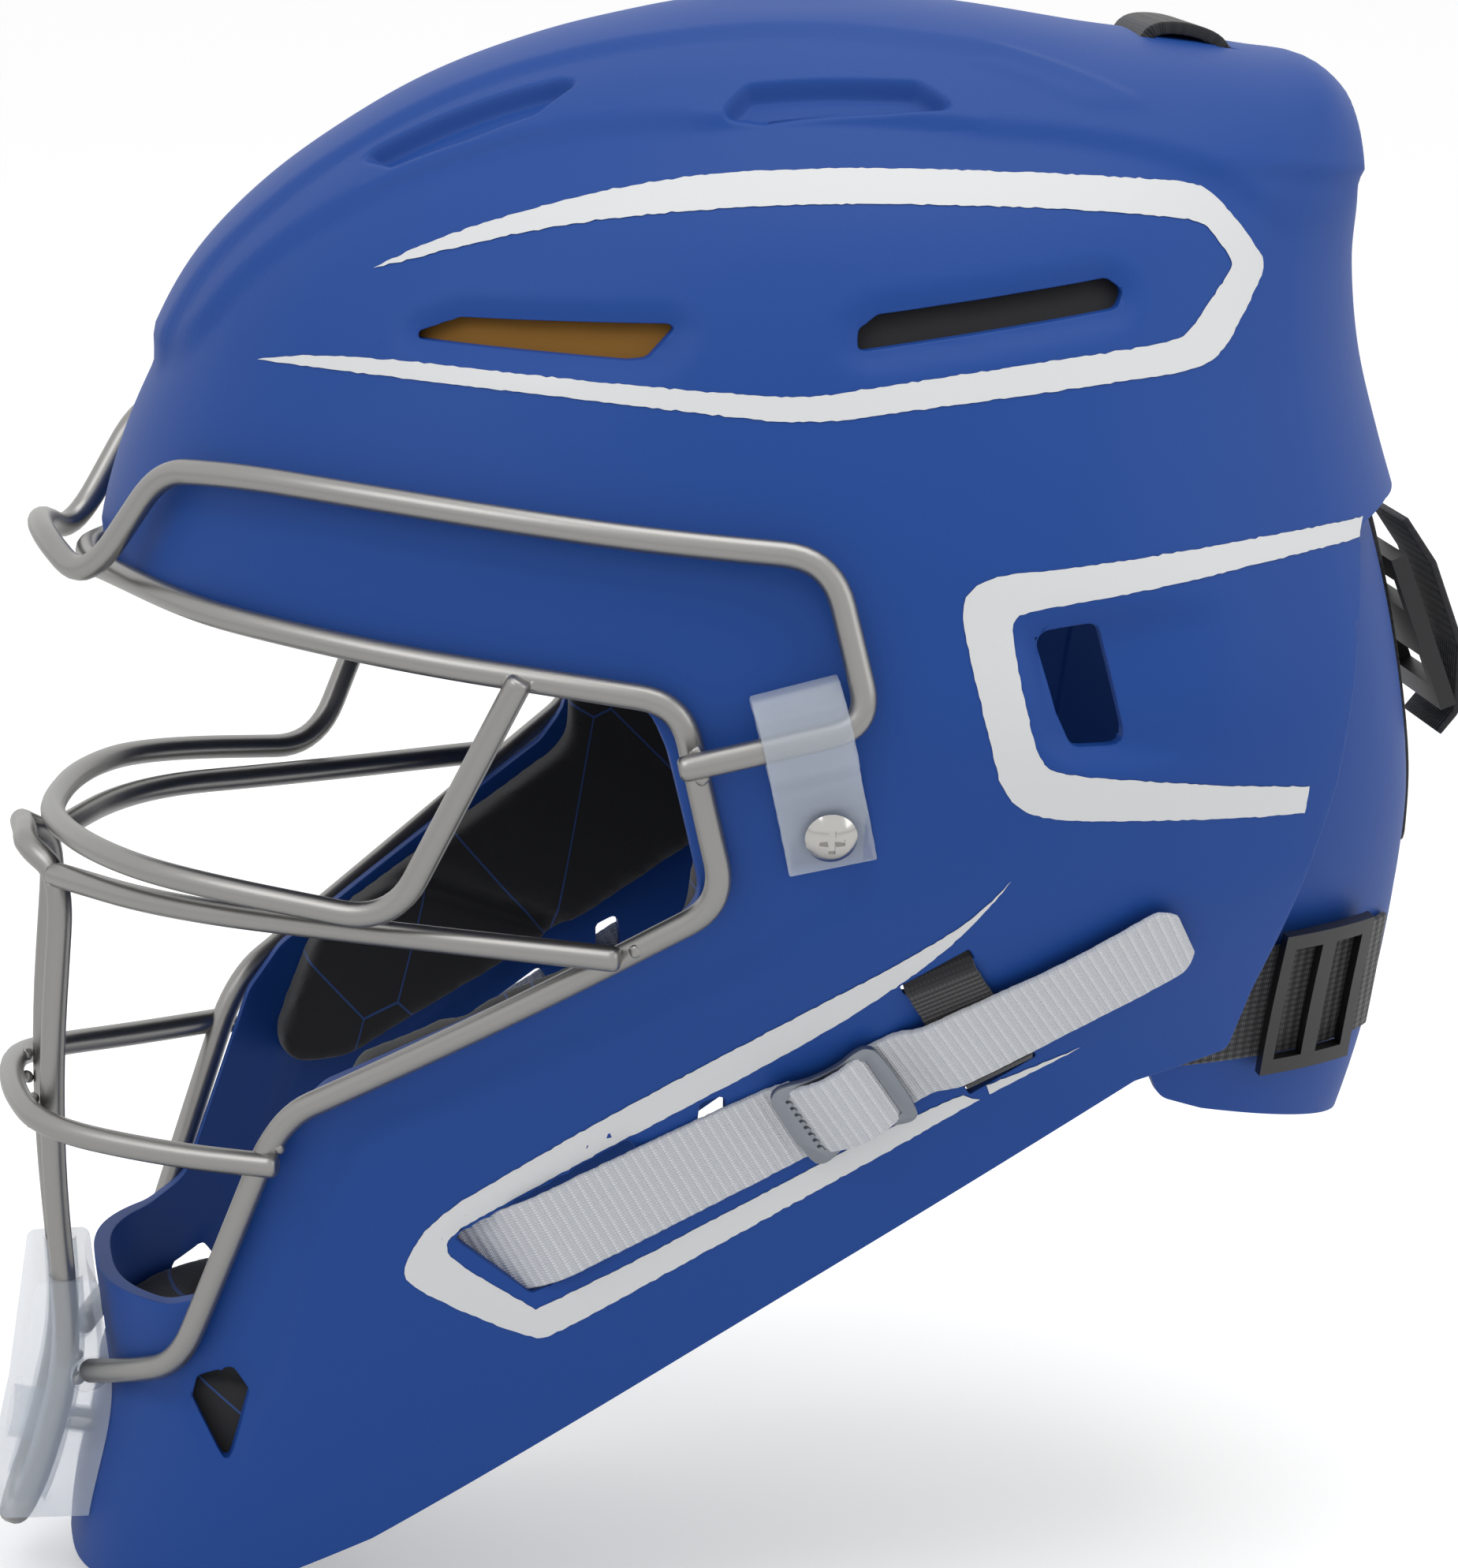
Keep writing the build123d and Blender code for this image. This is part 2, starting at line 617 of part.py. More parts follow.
chin_pad_shares = [(-0.560, -0.345), (-0.380, -0.345), (-0.364, -0.440), (-0.560, -0.465)]
crown_pad_floor_share = 0.360
jaw_channel_shares = ((-0.250, -0.090), (-0.100, -0.140))
crown_channel_shares = [(-0.10, 0.018), (0.60, 0.018), (0.60, 0.032), (-0.10, 0.032)]


def end_prism(shares, radius, front):
    """An outline seen along the head, run forward or backward from the middle."""
    points = [(x * half_width, 0, z * shell_height) for x, z in shares]
    face = make_face(FilletPolyline(*points, radius=radius, close=True))
    return extrude(face, amount=shell_depth, dir=(0, -1 if front else 1, 0))


def drawn_in(shares):
    """A side outline run outward from the middle plane whose sides draw in towards the head."""
    mid_y = sum(y for y, z in shares) / len(shares)
    mid_z = sum(z for y, z in shares) / len(shares)
    small = [(mid_y + (y - mid_y) * pad_draw_share, mid_z + (z - mid_z) * pad_draw_share)
             for y, z in shares]
    far = side_outline(shares, pad_radius).face().moved(Location((half_width + overrun, 0, 0)))
    near = side_outline(small, pad_radius * pad_draw_share).face()
    return loft([near, far], ruled=True)


def pads():
    """The foam liners and the cushions that line the shell."""
    top = shell_wall + soft_gap
    low = top + pad_thickness
    floor = top + liner_thickness
    front_liner = layer(side_prism(front_liner_shares, pad_radius), top, floor)
    back_liner = layer(side_prism(back_liner_shares, pad_radius), top, floor)
    temple = layer(drawn_in(temple_pad_shares), top, low)
    jaw = layer(drawn_in(jaw_pad_shares), top, low)
    groove = stretch(*jaw_channel_shares, channel_width)
    jaw = jaw - (groove & skin(low - channel_depth, low))
    jaw = single(jaw - seat_plane(clip_screw_share) * Cylinder(nut_flange / 2 + soft_gap, 8 * overrun))
    crown = layer(top_prism(crown_pad_shares, pad_radius, crown_pad_floor_share), top, low)
    ditch = top_prism(crown_channel_shares, corner_radius / 2, crown_pad_floor_share)
    crown = single(crown - (ditch & skin(low - channel_depth, low)))
    brow = layer(end_prism(brow_pad_shares, pad_radius, True), top, low)
    back = layer(end_prism(back_pad_shares, pad_radius, False), top, low)
    chin = layer(side_prism(chin_pad_shares, pad_radius), top, top + chin_pad_thickness)
    chin = whole(chin) - chin_seat(0) * Cylinder(nut_flange / 2 + 2 * soft_gap, 8 * overrun)
    return {"front_liner_left": front_liner, "front_liner_right": mirrored(front_liner),
            "back_liner_left": back_liner, "back_liner_right": mirrored(back_liner),
            "temple_pad_left": temple, "temple_pad_right": mirrored(temple),
            "jaw_pad_left": jaw, "jaw_pad_right": mirrored(jaw),
            "crown_pad": whole(crown), "brow_pad": whole(brow), "back_pad": whole(back),
            "chin_pad": single(chin)}


# The back plate, its pad, straps and buckles
plate_shares = [(0.378, 0.258), (0.349, 0.092), (0.305, -0.092), (0.284, -0.154), (0.298, -0.178),
                (0.335, -0.191), (0.476, -0.225), (0.660, -0.234), (0.660, 0.258)]
elastic_shares = ((0.262, -0.112), (0.490, -0.118))
side_buckle_shares = ((0.378, -0.115), (0.462, -0.117))
window_shares = ((0.12, 0.42), (0.58, 0.88))
rear_strap_shares = [(-0.10, -0.048), (0.114, -0.048), (0.114, 0.246), (-0.10, 0.246)]
upper_buckle_share = (0.538, 0.096)
rear_loop_shares = [(0.524, 0.170), (0.548, 0.140), (0.572, 0.084), (0.570, 0.040), (0.556, 0.026)]
crown_strap_shares = [(0.3120, 0.430), (0.3120, 0.497), (0.328, 0.511), (0.354, 0.505),
                      (0.3720, 0.480), (0.3720, 0.430)]


def band(shares, thickness, width, radius):
    """A strap that runs in the middle plane, drawn from its side line."""
    points = [(0, y * shell_depth, z * shell_height) for y, z in shares]
    line = FilletPolyline(*points, radius=radius)
    start = Plane(origin=line @ 0, x_dir=(1, 0, 0), z_dir=line % 0)
    return sweep(start * Rectangle(width, thickness), path=line)


def back_plate():
    """The moulded plate behind the head, with a small vent on each side."""
    prism = side_prism(plate_shares, plate_radius / 2)
    half = layer(prism, plate_end_inset, plate_end_inset + plate_wall, plate_form)
    return whole(half)


def frame_layer(span, width, rim, outside, inside, make=form):
    """A flat buckle lying on a curved wall: a rounded frame with two windows and a bar."""
    (y0, z0), (y1, z1) = span
    plate = layer(stretch(span[0], span[1], width + 2 * rim), outside, inside, make)
    for a, b in window_shares:
        ends = [(y0 + (y1 - y0) * t, z0 + (z1 - z0) * t) for t in (a, b)]
        plate = plate - stretch(*ends, width)
    return single(plate)


def crown_strap():
    """The strap loop that stands out of the crown between its two slots."""
    return band(crown_strap_shares, webbing, rear_strap_width, corner_radius)


def rear_group():
    """The back plate with its pad, its straps and its buckles."""
    plate_pad_top = plate_end_inset + plate_wall + soft_gap
    pad_half = layer(end_prism(plate_pad_shares, pad_radius, False),
                     plate_pad_top, plate_pad_top + plate_pad_thickness, plate_form)
    lift = plate_end_inset - strap_gap
    strap_half = layer(end_prism(rear_strap_shares, corner_radius, False),
                       lift - webbing, lift, plate_form)
    elastic = layer(stretch(*elastic_shares, elastic_width), lift - webbing, lift, plate_form)
    under = lift - webbing - strap_gap
    side = frame_layer(side_buckle_shares, elastic_width, buckle_rim,
                       under - buckle_thickness, under, plate_form)
    place = Plane(origin=(0, upper_buckle_share[0] * shell_depth, upper_buckle_share[1] * shell_height),
                  x_dir=(1, 0, 0), z_dir=(0, math.sin(math.radians(upper_buckle_angle)),
                                          math.cos(math.radians(upper_buckle_angle))))
    slab = Box(rear_strap_width + 2 * buckle_rim, upper_buckle_length, buckle_thickness)
    for way in (-1, 1):
        window = Location((0, way * upper_buckle_length / 4, 0))
        slab = slab - window * Box(rear_strap_width, upper_buckle_length / 5, 2 * buckle_thickness)
    loop = band(rear_loop_shares, webbing, rear_strap_width, corner_radius)
    return {"back_plate": back_plate(), "plate_pad": whole(pad_half), "rear_strap": whole(strap_half),
            "elastic_strap_left": elastic, "elastic_strap_right": mirrored(elastic),
            "side_buckle_left": side, "side_buckle_right": mirrored(side),
            "upper_buckle": place * slab, "rear_strap_loop": loop}


# The chin straps on the jaw
plug_shares = ((-0.2222, -0.2290), (-0.1584, -0.2670))
slider_share = (0.036, -0.144)
tail_end_share = (0.273, -0.034)
lift_share = 0.84
keeper_shares = ((0.095, -0.056), (0.140, -0.120))


def moved_along(first, last, distance):
    """The first share moved towards the last one by a distance in millimetres."""
    run, rise = (last[0] - first[0]) * shell_depth, (last[1] - first[1]) * shell_height
    step = distance / math.hypot(run, rise)
    return (first[0] + (last[0] - first[0]) * step, first[1] + (last[1] - first[1]) * step)


def middle_of(first, last):
    """The share halfway between two others."""
    return ((first[0] + last[0]) / 2, (first[1] + last[1]) / 2)


def leg(at, towards, width, extra):
    """A short slab across a strap where it turns down into the wall."""
    half = webbing / 2 + extra
    return stretch(moved_along(at, towards, -half), moved_along(at, towards, half), width + 2 * extra)


def strap_slots():
    """The slots in the jaw that the elastic keeper is threaded through."""
    first, last = keeper_shares
    return [leg(first, last, keeper_width, soft_gap), leg(last, first, keeper_width, soft_gap)]


def keeper():
    """The near elastic keeper, its ends turned in through the shell."""
    first, last = keeper_shares
    low, deep = -strap_gap, shell_wall + leg_depth
    half = webbing / 2
    top = stretch(moved_along(first, last, -half), moved_along(last, first, -half), keeper_width)
    piece = layer(top, low - webbing, low)
    for at, towards in ((first, last), (last, first)):
        piece = piece + layer(leg(at, towards, keeper_width, 0), low - webbing, deep)
    return single(piece)


def slider_plane():
    """The seat of the near slider, square to the jaw with x along the strap."""
    start = middle_of(*plug_shares)
    first = beside(start[0] * shell_depth, start[1] * shell_height)
    centre = beside(slider_share[0] * shell_depth, slider_share[1] * shell_height)
    seat = seat_plane(slider_share, 2 * strap_gap + webbing + slider_lift)
    return Plane(origin=seat.origin, x_dir=centre - first, z_dir=seat.z_dir)


def slider():
    """The near three-bar slider that the chin strap is threaded through."""
    window = strap_width + 2 * strap_gap
    outline = RectangleRounded(slider_length, window + 2 * slider_rim, slider_rim)
    opening = (slider_length - 3 * slider_rim) / 2
    for way in (-1, 1):
        outline = outline - Location((way * (opening + slider_rim) / 2, 0, 0)) * Rectangle(opening, window)
    return slider_plane() * extrude(outline, amount=slider_thickness)


def strap_hump(turn):
    """The part of the strap that rises through the slider, over its bar and down again."""
    plane = slider_plane()
    foot = -strap_gap - webbing / 2 - slider_lift
    top = slider_thickness + strap_gap + webbing / 2
    points = [plane.from_local_coords(Vector(x, 0, z))
              for x, z in ((-turn, foot), (-turn, top), (turn, top), (turn, foot))]
    line = FilletPolyline(*points, radius=webbing)
    section = Plane(origin=line @ 0, x_dir=plane.y_dir, z_dir=line % 0) * Rectangle(strap_width, webbing)
    return sweep(section, path=line)


def jaw_straps():
    """The near chin strap with its slider, loose tail and elastic keeper."""
    start = middle_of(*plug_shares)
    low, lifted = -strap_gap, -2 * strap_gap - webbing
    opening = (slider_length - 3 * slider_rim) / 2
    turn = slider_rim / 2 + opening / 2
    up, down = [moved_along(slider_share, start, way * turn) for way in (1, -1)]
    half = webbing / 2
    run_end = moved_along(up, start, half + soft_gap)
    run = layer(stretch(moved_along(start, up, -half), run_end, strap_width), low - webbing, low)
    run = single(run + layer(stretch(*plug_shares, webbing), low - webbing, shell_wall + leg_depth))
    lift = (down[0] + (keeper_shares[0][0] - down[0]) * lift_share,
            down[1] + (tail_end_share[1] - down[1]) * lift_share
            * (keeper_shares[0][0] - down[0]) / (tail_end_share[0] - down[0]))
    tail = strap_hump(turn)
    tail = tail + layer(stretch(down, moved_along(lift, tail_end_share, half), strap_width), low - webbing, low)
    tail = tail + layer(leg(lift, tail_end_share, strap_width, 0), lifted - webbing, low)
    tail = tail + layer(stretch(lift, tail_end_share, strap_width), lifted - webbing, lifted)
    tail = single(tail)
    near = {"chin_strap": run, "strap_tail": tail, "strap_slider": slider(), "keeper_band": keeper()}
    pieces = {}
    for name, piece in near.items():
        pieces[name + "_left"] = piece
        pieces[name + "_right"] = mirrored(piece)
    return pieces


def save(pieces):
    """Each piece as its own file in the parts folder."""
    os.makedirs("parts", exist_ok=True)
    for name, piece in pieces.items():
        if isinstance(piece, list):
            piece = Compound(children=piece)
        export_step(piece, os.path.join("parts", name + ".step"))


def main():
    save(cage())
    save(clips())
    save(pads())
    save(rear_group())
    save(jaw_straps())
    save({"crown_strap": crown_strap(), "outer_shell": outer_shell()})


if __name__ == "__main__":
    main()
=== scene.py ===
import math

import bmesh
import bpy
import numpy as np
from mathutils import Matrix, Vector, noise
from mathutils.bvhtree import BVHTree
from mathutils.geometry import delaunay_2d_cdt


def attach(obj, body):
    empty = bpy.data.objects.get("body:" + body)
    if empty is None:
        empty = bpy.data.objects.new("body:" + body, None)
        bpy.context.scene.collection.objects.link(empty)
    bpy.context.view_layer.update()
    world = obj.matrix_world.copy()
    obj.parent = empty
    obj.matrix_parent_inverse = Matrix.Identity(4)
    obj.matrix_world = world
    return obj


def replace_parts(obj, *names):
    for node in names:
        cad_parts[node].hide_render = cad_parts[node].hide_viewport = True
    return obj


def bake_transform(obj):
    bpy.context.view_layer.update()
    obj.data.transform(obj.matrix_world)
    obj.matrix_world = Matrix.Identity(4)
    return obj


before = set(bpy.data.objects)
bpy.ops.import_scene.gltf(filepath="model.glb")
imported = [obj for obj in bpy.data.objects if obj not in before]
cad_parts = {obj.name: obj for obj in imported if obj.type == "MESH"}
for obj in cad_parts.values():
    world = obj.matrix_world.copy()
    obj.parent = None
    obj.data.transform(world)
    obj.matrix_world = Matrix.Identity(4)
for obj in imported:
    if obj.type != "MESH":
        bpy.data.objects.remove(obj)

bl_info = {
    "name": "Catcher Helmet",
    "version": (1, 0, 0),
    "blender": (4, 5, 0),
    "location": "View3D > Sidebar > Helmet",
    "description": "Dresses the catcher's helmet with its moulded shell, cage, pads, straps and paint",
    "category": "Object",
}

# Lengths in this script are in millimetres and are turned into metres when a
# mesh is made. X is to the wearer's left, -Y is the face, Z is up.
MM = 0.001
SHELL_WIDTH, SHELL_DEPTH, SHELL_HEIGHT = 219.0, 275.0, 325.0
SHELL_WALL = 3.6
HALF_WIDTH = SHELL_WIDTH / 2
GRID_AROUND, GRID_STEP = 288, 2.35
CAP_RINGS, CAP_LIFT = 8, 1.3
RIM_BEVEL = 0.4

# Rows from the crown down: height, front and back as shares of the shell's
# height and depth, half width and its place as shares, and how square the
# front and back halves of the ring are.
RING_SHARES = [
    (0.504, -0.015, 0.124, 0.110, 0.055, 2.0, 2.0),
    (0.497, -0.062, 0.189, 0.220, 0.055, 2.0, 2.0),
    (0.483, -0.135, 0.313, 0.338, 0.055, 2.0, 2.0),
    (0.461, -0.211, 0.430, 0.457, 0.055, 2.0, 2.1),
    (0.434, -0.273, 0.473, 0.557, 0.055, 2.0, 2.2),
    (0.394, -0.342, 0.482, 0.676, 0.056, 2.0, 2.2),
    (0.348, -0.396, 0.476, 0.767, 0.060, 2.0, 2.2),
    (0.292, -0.433, 0.480, 0.845, 0.070, 2.05, 2.2),
    (0.237, -0.462, 0.495, 0.909, 0.085, 2.1, 2.2),
    (0.178, -0.480, 0.515, 0.959, 0.100, 2.15, 2.2),
    (0.092, -0.484, 0.538, 1.000, 0.105, 2.2, 2.2),
    (0.000, -0.487, 0.552, 0.941, 0.105, 2.2, 2.2),
    (-0.046, -0.489, 0.550, 0.877, 0.105, 2.2, 2.2),
    (-0.092, -0.491, 0.545, 0.795, 0.100, 2.3, 2.2),
    (-0.148, -0.494, 0.535, 0.708, 0.090, 2.4, 2.2),
    (-0.200, -0.498, 0.520, 0.658, 0.070, 2.5, 2.2),
    (-0.292, -0.505, 0.480, 0.603, 0.020, 2.7, 2.2),
    (-0.380, -0.497, 0.450, 0.560, -0.055, 2.8, 2.2),
    (-0.470, -0.520, 0.420, 0.510, -0.115, 2.8, 2.2),
    (-0.560, -0.526, 0.390, 0.450, -0.170, 2.8, 2.2),
]

# Side-view outlines (Y, Z) cut through both cheeks of the shell
FACE_OPENING = [
    (-198, 49.4), (-125, 50.1), (-79.8, 46.2), (-32.5, 39.0), (-29.0, 30.5), (-21.4, -0.5), (-29.0, -8.5),
    (-92.1, -45.5), (-99.6, -54.0), (-115, -93.6), (-123.8, -97.5), (-198, -97.5)]
LOWER_EDGE = [
    (-198, -160.9), (-132, -160.9), (-105.9, -155.4), (-83.9, -145.0), (72.1, -48.8), (92.4, -43.9),
    (95.7, -29.9), (110, 14.6), (115, 39.0), (118.8, 63.7), (129.3, 66.0), (198, 66.0), (198, -234),
    (-198, -234)]
FRONT_VENT = [
    (-72, 106), (-71.8, 107.5), (-64, 110.4), (-25, 110.2), (-24, 109.3), (-29.5, 103.8), (-33, 103.4)]
BACK_VENT = [(10.8, 104.8), (11.4, 109), (15.5, 111.6), (63, 116.7), (66.4, 114.2), (64.5, 110.8)]
EAR_OPENING = [(43.3, 49.5), (44.8, 51.8), (56, 53), (61.5, 28.8), (50.2, 29), (47, 36)]
CHIN_VENT = [(-119.6, -117), (-118.5, -112.3), (-111.5, -109), (-108.2, -114), (-112.9, -131)]
STRAP_OPENING = [(-67.6, -77.9), (-32.3, -56.3), (-28.5, -63.0), (-41.5, -85.2), (-51.5, -90.6)]
STRAP_HOLE = [(-18.9, -54), (-18.7, -48.4), (-13.6, -46.3), (-13.2, -54)]
EAR_SCOOP = [(38.5, 54.5), (48, 56), (90, 56), (88, 22), (49, 25.5), (43.5, 30)]
RECESS = [
    (-198, 55.9), (-133, 57.2), (-119, 76), (-60.5, 69.6), (-4.4, 60.5), (3, 47), (11, 23), (11, 0),
    (-9.9, -16.3), (-85.3, -57.2), (-96.3, -85.2), (-104, -119), (-198, -125.5)]
REAR_CAP = [(60, 137.5), (100, 133.5), (160, 126), (160, 190), (60, 190)]

# Plan-view outlines (X, Y) on the near half of the crown
CREST = [
    (-11, -129), (22, -113), (33, -82.5), (42, -50), (53, -13), (57, 41), (55.8, 104.5), (46, 127),
    (-11, 130)]
RIB = [
    (-14, -128), (9, -122), (15, -96), (17, -70), (20, -46), (26, -14), (31, 20), (36, 48), (47, 74),
    (40, 96), (-14, 100)]
TOP_FRONT_VENT = [(20.5, -79), (24.2, -62), (29, -39), (32.5, -36), (37.4, -45), (35.6, -58), (31, -73)]
TOP_MID_VENT = [(52, -11), (45.5, -4), (46.5, 30), (53, 37), (54, 22), (54, -2)]
TOP_SLOTS = ([(30.3, -67.6), (34.8, -48), (33.4, -47.7), (28.9, -67.3)],
             [(51.1, -1), (52.6, -1), (52.8, 26), (51.3, 26)])
REAR_FACET = [(40.5, 41), (33, 49), (44.5, 75.5), (48.5, 76.5), (51, 63)]

# Openings cut through both sides: outline, corner radius
SIDE_CUTS = ((FACE_OPENING, 9), (LOWER_EDGE, 3), (FRONT_VENT, 2.5), (BACK_VENT, 2.5), (EAR_OPENING, 3),
             (CHIN_VENT, 1.5), (STRAP_OPENING, 1.5), (STRAP_HOLE, 1.4))

# Forms that rise from the shell, or sink if the rise is negative: view, outline, corner
# radius, rise, the distances from the outline where it is full and gone, and its part
FORMS = (
    ("side", RECESS, 10, -1.5, -2.8, 0.6, "all"), ("plan", CREST, 14, 1.8, -2.6, 1.4, "crest"),
    ("plan", RIB, 10, 1.4, -2.8, 1.8, "rib"), ("side", REAR_CAP, 0, 1.3, -1.2, 1.2, "cap"),
    ("side", EAR_SCOOP, 6, -3.4, -4.2, 0.8, "scoop"), ("side", FRONT_VENT, 2, -1.7, 0.3, 4.4, "cheek"),
    ("side", BACK_VENT, 2, -1.7, 0.3, 4.4, "cheek"), ("plan", TOP_FRONT_VENT, 2.5, -3.6, -2.3, 0.9, "crown"),
    ("plan", TOP_MID_VENT, 2.5, -3.6, -2.3, 0.9, "crown"), ("plan", REAR_FACET, 0, 0.8, -2.6, 0.4, "crown"),
    ("side", CHIN_VENT, 1.5, -1.0, 0.3, 3.0, "all"), ("side", STRAP_OPENING, 2, -0.9, 0.3, 3.2, "cheek"))
REAR_CORNER, CORNER_RISE = (119, 147), 1.7

# Slots and straps, by places in the side view or along the middle of the crown
KEEPER_ENDS = (26.1, -18.2), (42.4, -43.4)
KEEPER_SLOT = 1.2, 7.7
CROWN_SLOTS = 0.312 * SHELL_DEPTH, 0.372 * SHELL_DEPTH
CROWN_SLOT = 13.5, 1.6
SLIDER = (9.9, -46.8)
STRAP_START, STRAP_END = (-67.0, -87.5), (75.6, -10.6)


def column_value(column, level):
    """One ring value at a height share, drawn smoothly through the rows."""
    rows = RING_SHARES
    last = len(rows) - 1
    level = min(max(level, rows[last][0]), rows[0][0])
    i = 0
    while i < last - 1 and level < rows[i + 1][0]:
        i += 1

    def slope(k):
        low, high = max(k - 1, 0), min(k + 1, last)
        return (rows[high][column] - rows[low][column]) / (rows[high][0] - rows[low][0])

    span = rows[i + 1][0] - rows[i][0]
    t = (level - rows[i][0]) / span
    a, b = rows[i][column], rows[i + 1][column]
    return (a * (1 + 2 * t) * (1 - t) ** 2 + b * t * t * (3 - 2 * t)
            + span * (slope(i) * t * (1 - t) ** 2 - slope(i + 1) * t * t * (1 - t)))


def ring(z):
    """Front, back, half width, widest place and the two powers at height z."""
    front, back, side, middle, front_power, back_power = [
        column_value(c, z / SHELL_HEIGHT) for c in range(1, 7)]
    return (front * SHELL_DEPTH, back * SHELL_DEPTH, side * HALF_WIDTH,
            middle * SHELL_DEPTH, front_power, back_power)


def skin_x(y, z):
    """Half width of the shell's outer face at a place seen from the side."""
    front, back, side, middle, front_power, back_power = ring(z)
    reach, power = (middle - front, front_power) if y < middle else (back - middle, back_power)
    t = min(abs(y - middle) / reach, 1)
    return side * (1 - t ** power) ** (1 / power)


def beside(y, z, off=0.0):
    """A point beside the near cheek, a distance off the shell's face, and the way out there."""
    step = 3.0
    slope_y = (skin_x(y + step, z) - skin_x(y - step, z)) / (2 * step)
    slope_z = (skin_x(y, z + step) - skin_x(y, z - step)) / (2 * step)
    out = Vector((1, -slope_y, -slope_z)).normalized()
    return Vector((skin_x(y, z), y, z)) + out * off, out


def rounded(points, radius, steps=4):
    """A closed 2-D outline with each corner rounded by an arc that fits its sides."""
    result = []
    count = len(points)
    for i in range(count):
        a, b, c = [Vector(points[(i + k) % count]) for k in (-1, 0, 1)]
        one, two = (a - b), (c - b)
        angle = one.angle(two)
        reach = min(radius / math.tan(angle / 2), 0.45 * one.length, 0.45 * two.length)
        start, end = b + one.normalized() * reach, b + two.normalized() * reach
        for k in range(steps + 1):
            t = k / steps
            result.append(tuple(start * (1 - t) ** 2 + b * 2 * t * (1 - t) + end * t ** 2))
    return result


def softened(points, sharp=()):
    """A closed outline with its corners cut away twice, but for the sharp ones."""
    marked = [(Vector(p), i in sharp) for i, p in enumerate(points)]
    for _ in range(2):
        cut = []
        for i, (p, keep) in enumerate(marked):
            before, after = marked[i - 1][0], marked[(i + 1) % len(marked)][0]
            if keep:
                cut.append((p, True))
            else:
                cut += [(p * 0.75 + before * 0.25, False), (p * 0.75 + after * 0.25, False)]
        marked = cut
    return [tuple(p) for p, _ in marked]


def outline_distance(flat, outline):
    """Signed distance of many 2-D places to a closed outline, negative inside."""
    places = np.asarray(flat, dtype=float)
    points = np.asarray(outline, dtype=float)
    nearest = np.full(len(places), 1e9)
    inside = np.zeros(len(places), dtype=bool)
    for a, b in zip(points, np.roll(points, -1, axis=0)):
        edge = b - a
        t = np.clip(((places - a) @ edge) / max(edge @ edge, 1e-9), 0, 1)
        gap = np.linalg.norm(places - (a + t[:, None] * edge), axis=1)
        nearest = np.minimum(nearest, gap)
        crosses = (a[1] > places[:, 1]) != (b[1] > places[:, 1])
        rise = b[1] - a[1] if b[1] != a[1] else 1e-9
        inside ^= crosses & (places[:, 0] < (b[0] - a[0]) * (places[:, 1] - a[1]) / rise + a[0])
    return np.where(inside, -nearest, nearest)


def fade(distance, near, far):
    """1 where the distance is below near, 0 above far, smooth between."""
    t = np.clip((distance - near) / (far - near), 0, 1)
    return 1 - t * t * (3 - 2 * t)


def use(obj):
    """Makes an object the active and only selected one."""
    bpy.ops.object.select_all(action="DESELECT")
    obj.hide_set(False)
    obj.select_set(True)
    bpy.context.view_layer.objects.active = obj
    return obj


def linked(name, data):
    """A new object in the scene, made active."""
    obj = bpy.data.objects.new(name, data)
    bpy.context.scene.collection.objects.link(obj)
    return use(obj)


def mesh_object(name, points, faces, uvs=None):
    """A mesh object made from points in millimetres."""
    mesh = bpy.data.meshes.new(name)
    mesh.from_pydata([tuple(c * MM for c in p) for p in points], [], faces)
    mesh.update()
    if uvs:
        layer = mesh.uv_layers.new(name="UVMap")
        for loop in mesh.loops:
            layer.data[loop.index].uv = uvs[loop.vertex_index]
    return linked(name, mesh)


def modified(obj, kind, **values):
    """Adds a modifier with its values and applies it."""
    use(obj)
    bpy.ops.object.modifier_add(type=kind)
    modifier = obj.modifiers[-1]
    for key, value in values.items():
        setattr(modifier, key, value)
    bpy.ops.object.modifier_apply(modifier=modifier.name)
    return obj


def bevelled(obj, width, angle, **values):
    """Bevels the edges sharper than an angle."""
    return modified(obj, "BEVEL", width=width * MM, segments=2, limit_method="ANGLE",
                    angle_limit=math.radians(angle), **values)


def edited(obj, step, **options):
    """Runs one edit-mode operator on all of an object's mesh."""
    use(obj)
    bpy.ops.object.mode_set(mode="EDIT")
    bpy.ops.mesh.select_all(action="SELECT")
    getattr(bpy.ops.mesh, step)(**options)
    bpy.ops.object.mode_set(mode="OBJECT")
    return obj


def smooth(obj, angle):
    """Smooth shading, with creases kept where faces meet more sharply."""
    use(obj)
    bpy.ops.object.shade_smooth_by_angle(angle=math.radians(angle))
    return obj


def prism(outline, axis, start, end):
    """A closed solid with a flat outline, run along X from a side view or along Z from above."""
    count = len(outline)
    points = [(along, p, q) if axis == "X" else (p, q, along) for along in (start, end) for p, q in outline]
    faces = [tuple(range(count)), tuple(reversed(range(count, 2 * count)))]
    faces += [(i, i + count, (i + 1) % count + count, (i + 1) % count) for i in range(count)]
    return edited(mesh_object("cutter", points, faces), "normals_make_consistent", inside=False)


def joined(objects, name):
    """Several mesh objects joined into the first."""
    use(objects[0])
    for other in objects[1:]:
        other.select_set(True)
    if len(objects) > 1:
        bpy.ops.object.join()
    objects[0].name = name
    return objects[0]


def cut(obj, cutters):
    """Takes closed solids out of an object and deletes them."""
    tool = joined(cutters, "cutter")
    modified(obj, "BOOLEAN", operation="DIFFERENCE", object=tool, solver="EXACT", use_self=True)
    bpy.data.objects.remove(tool)
    return obj


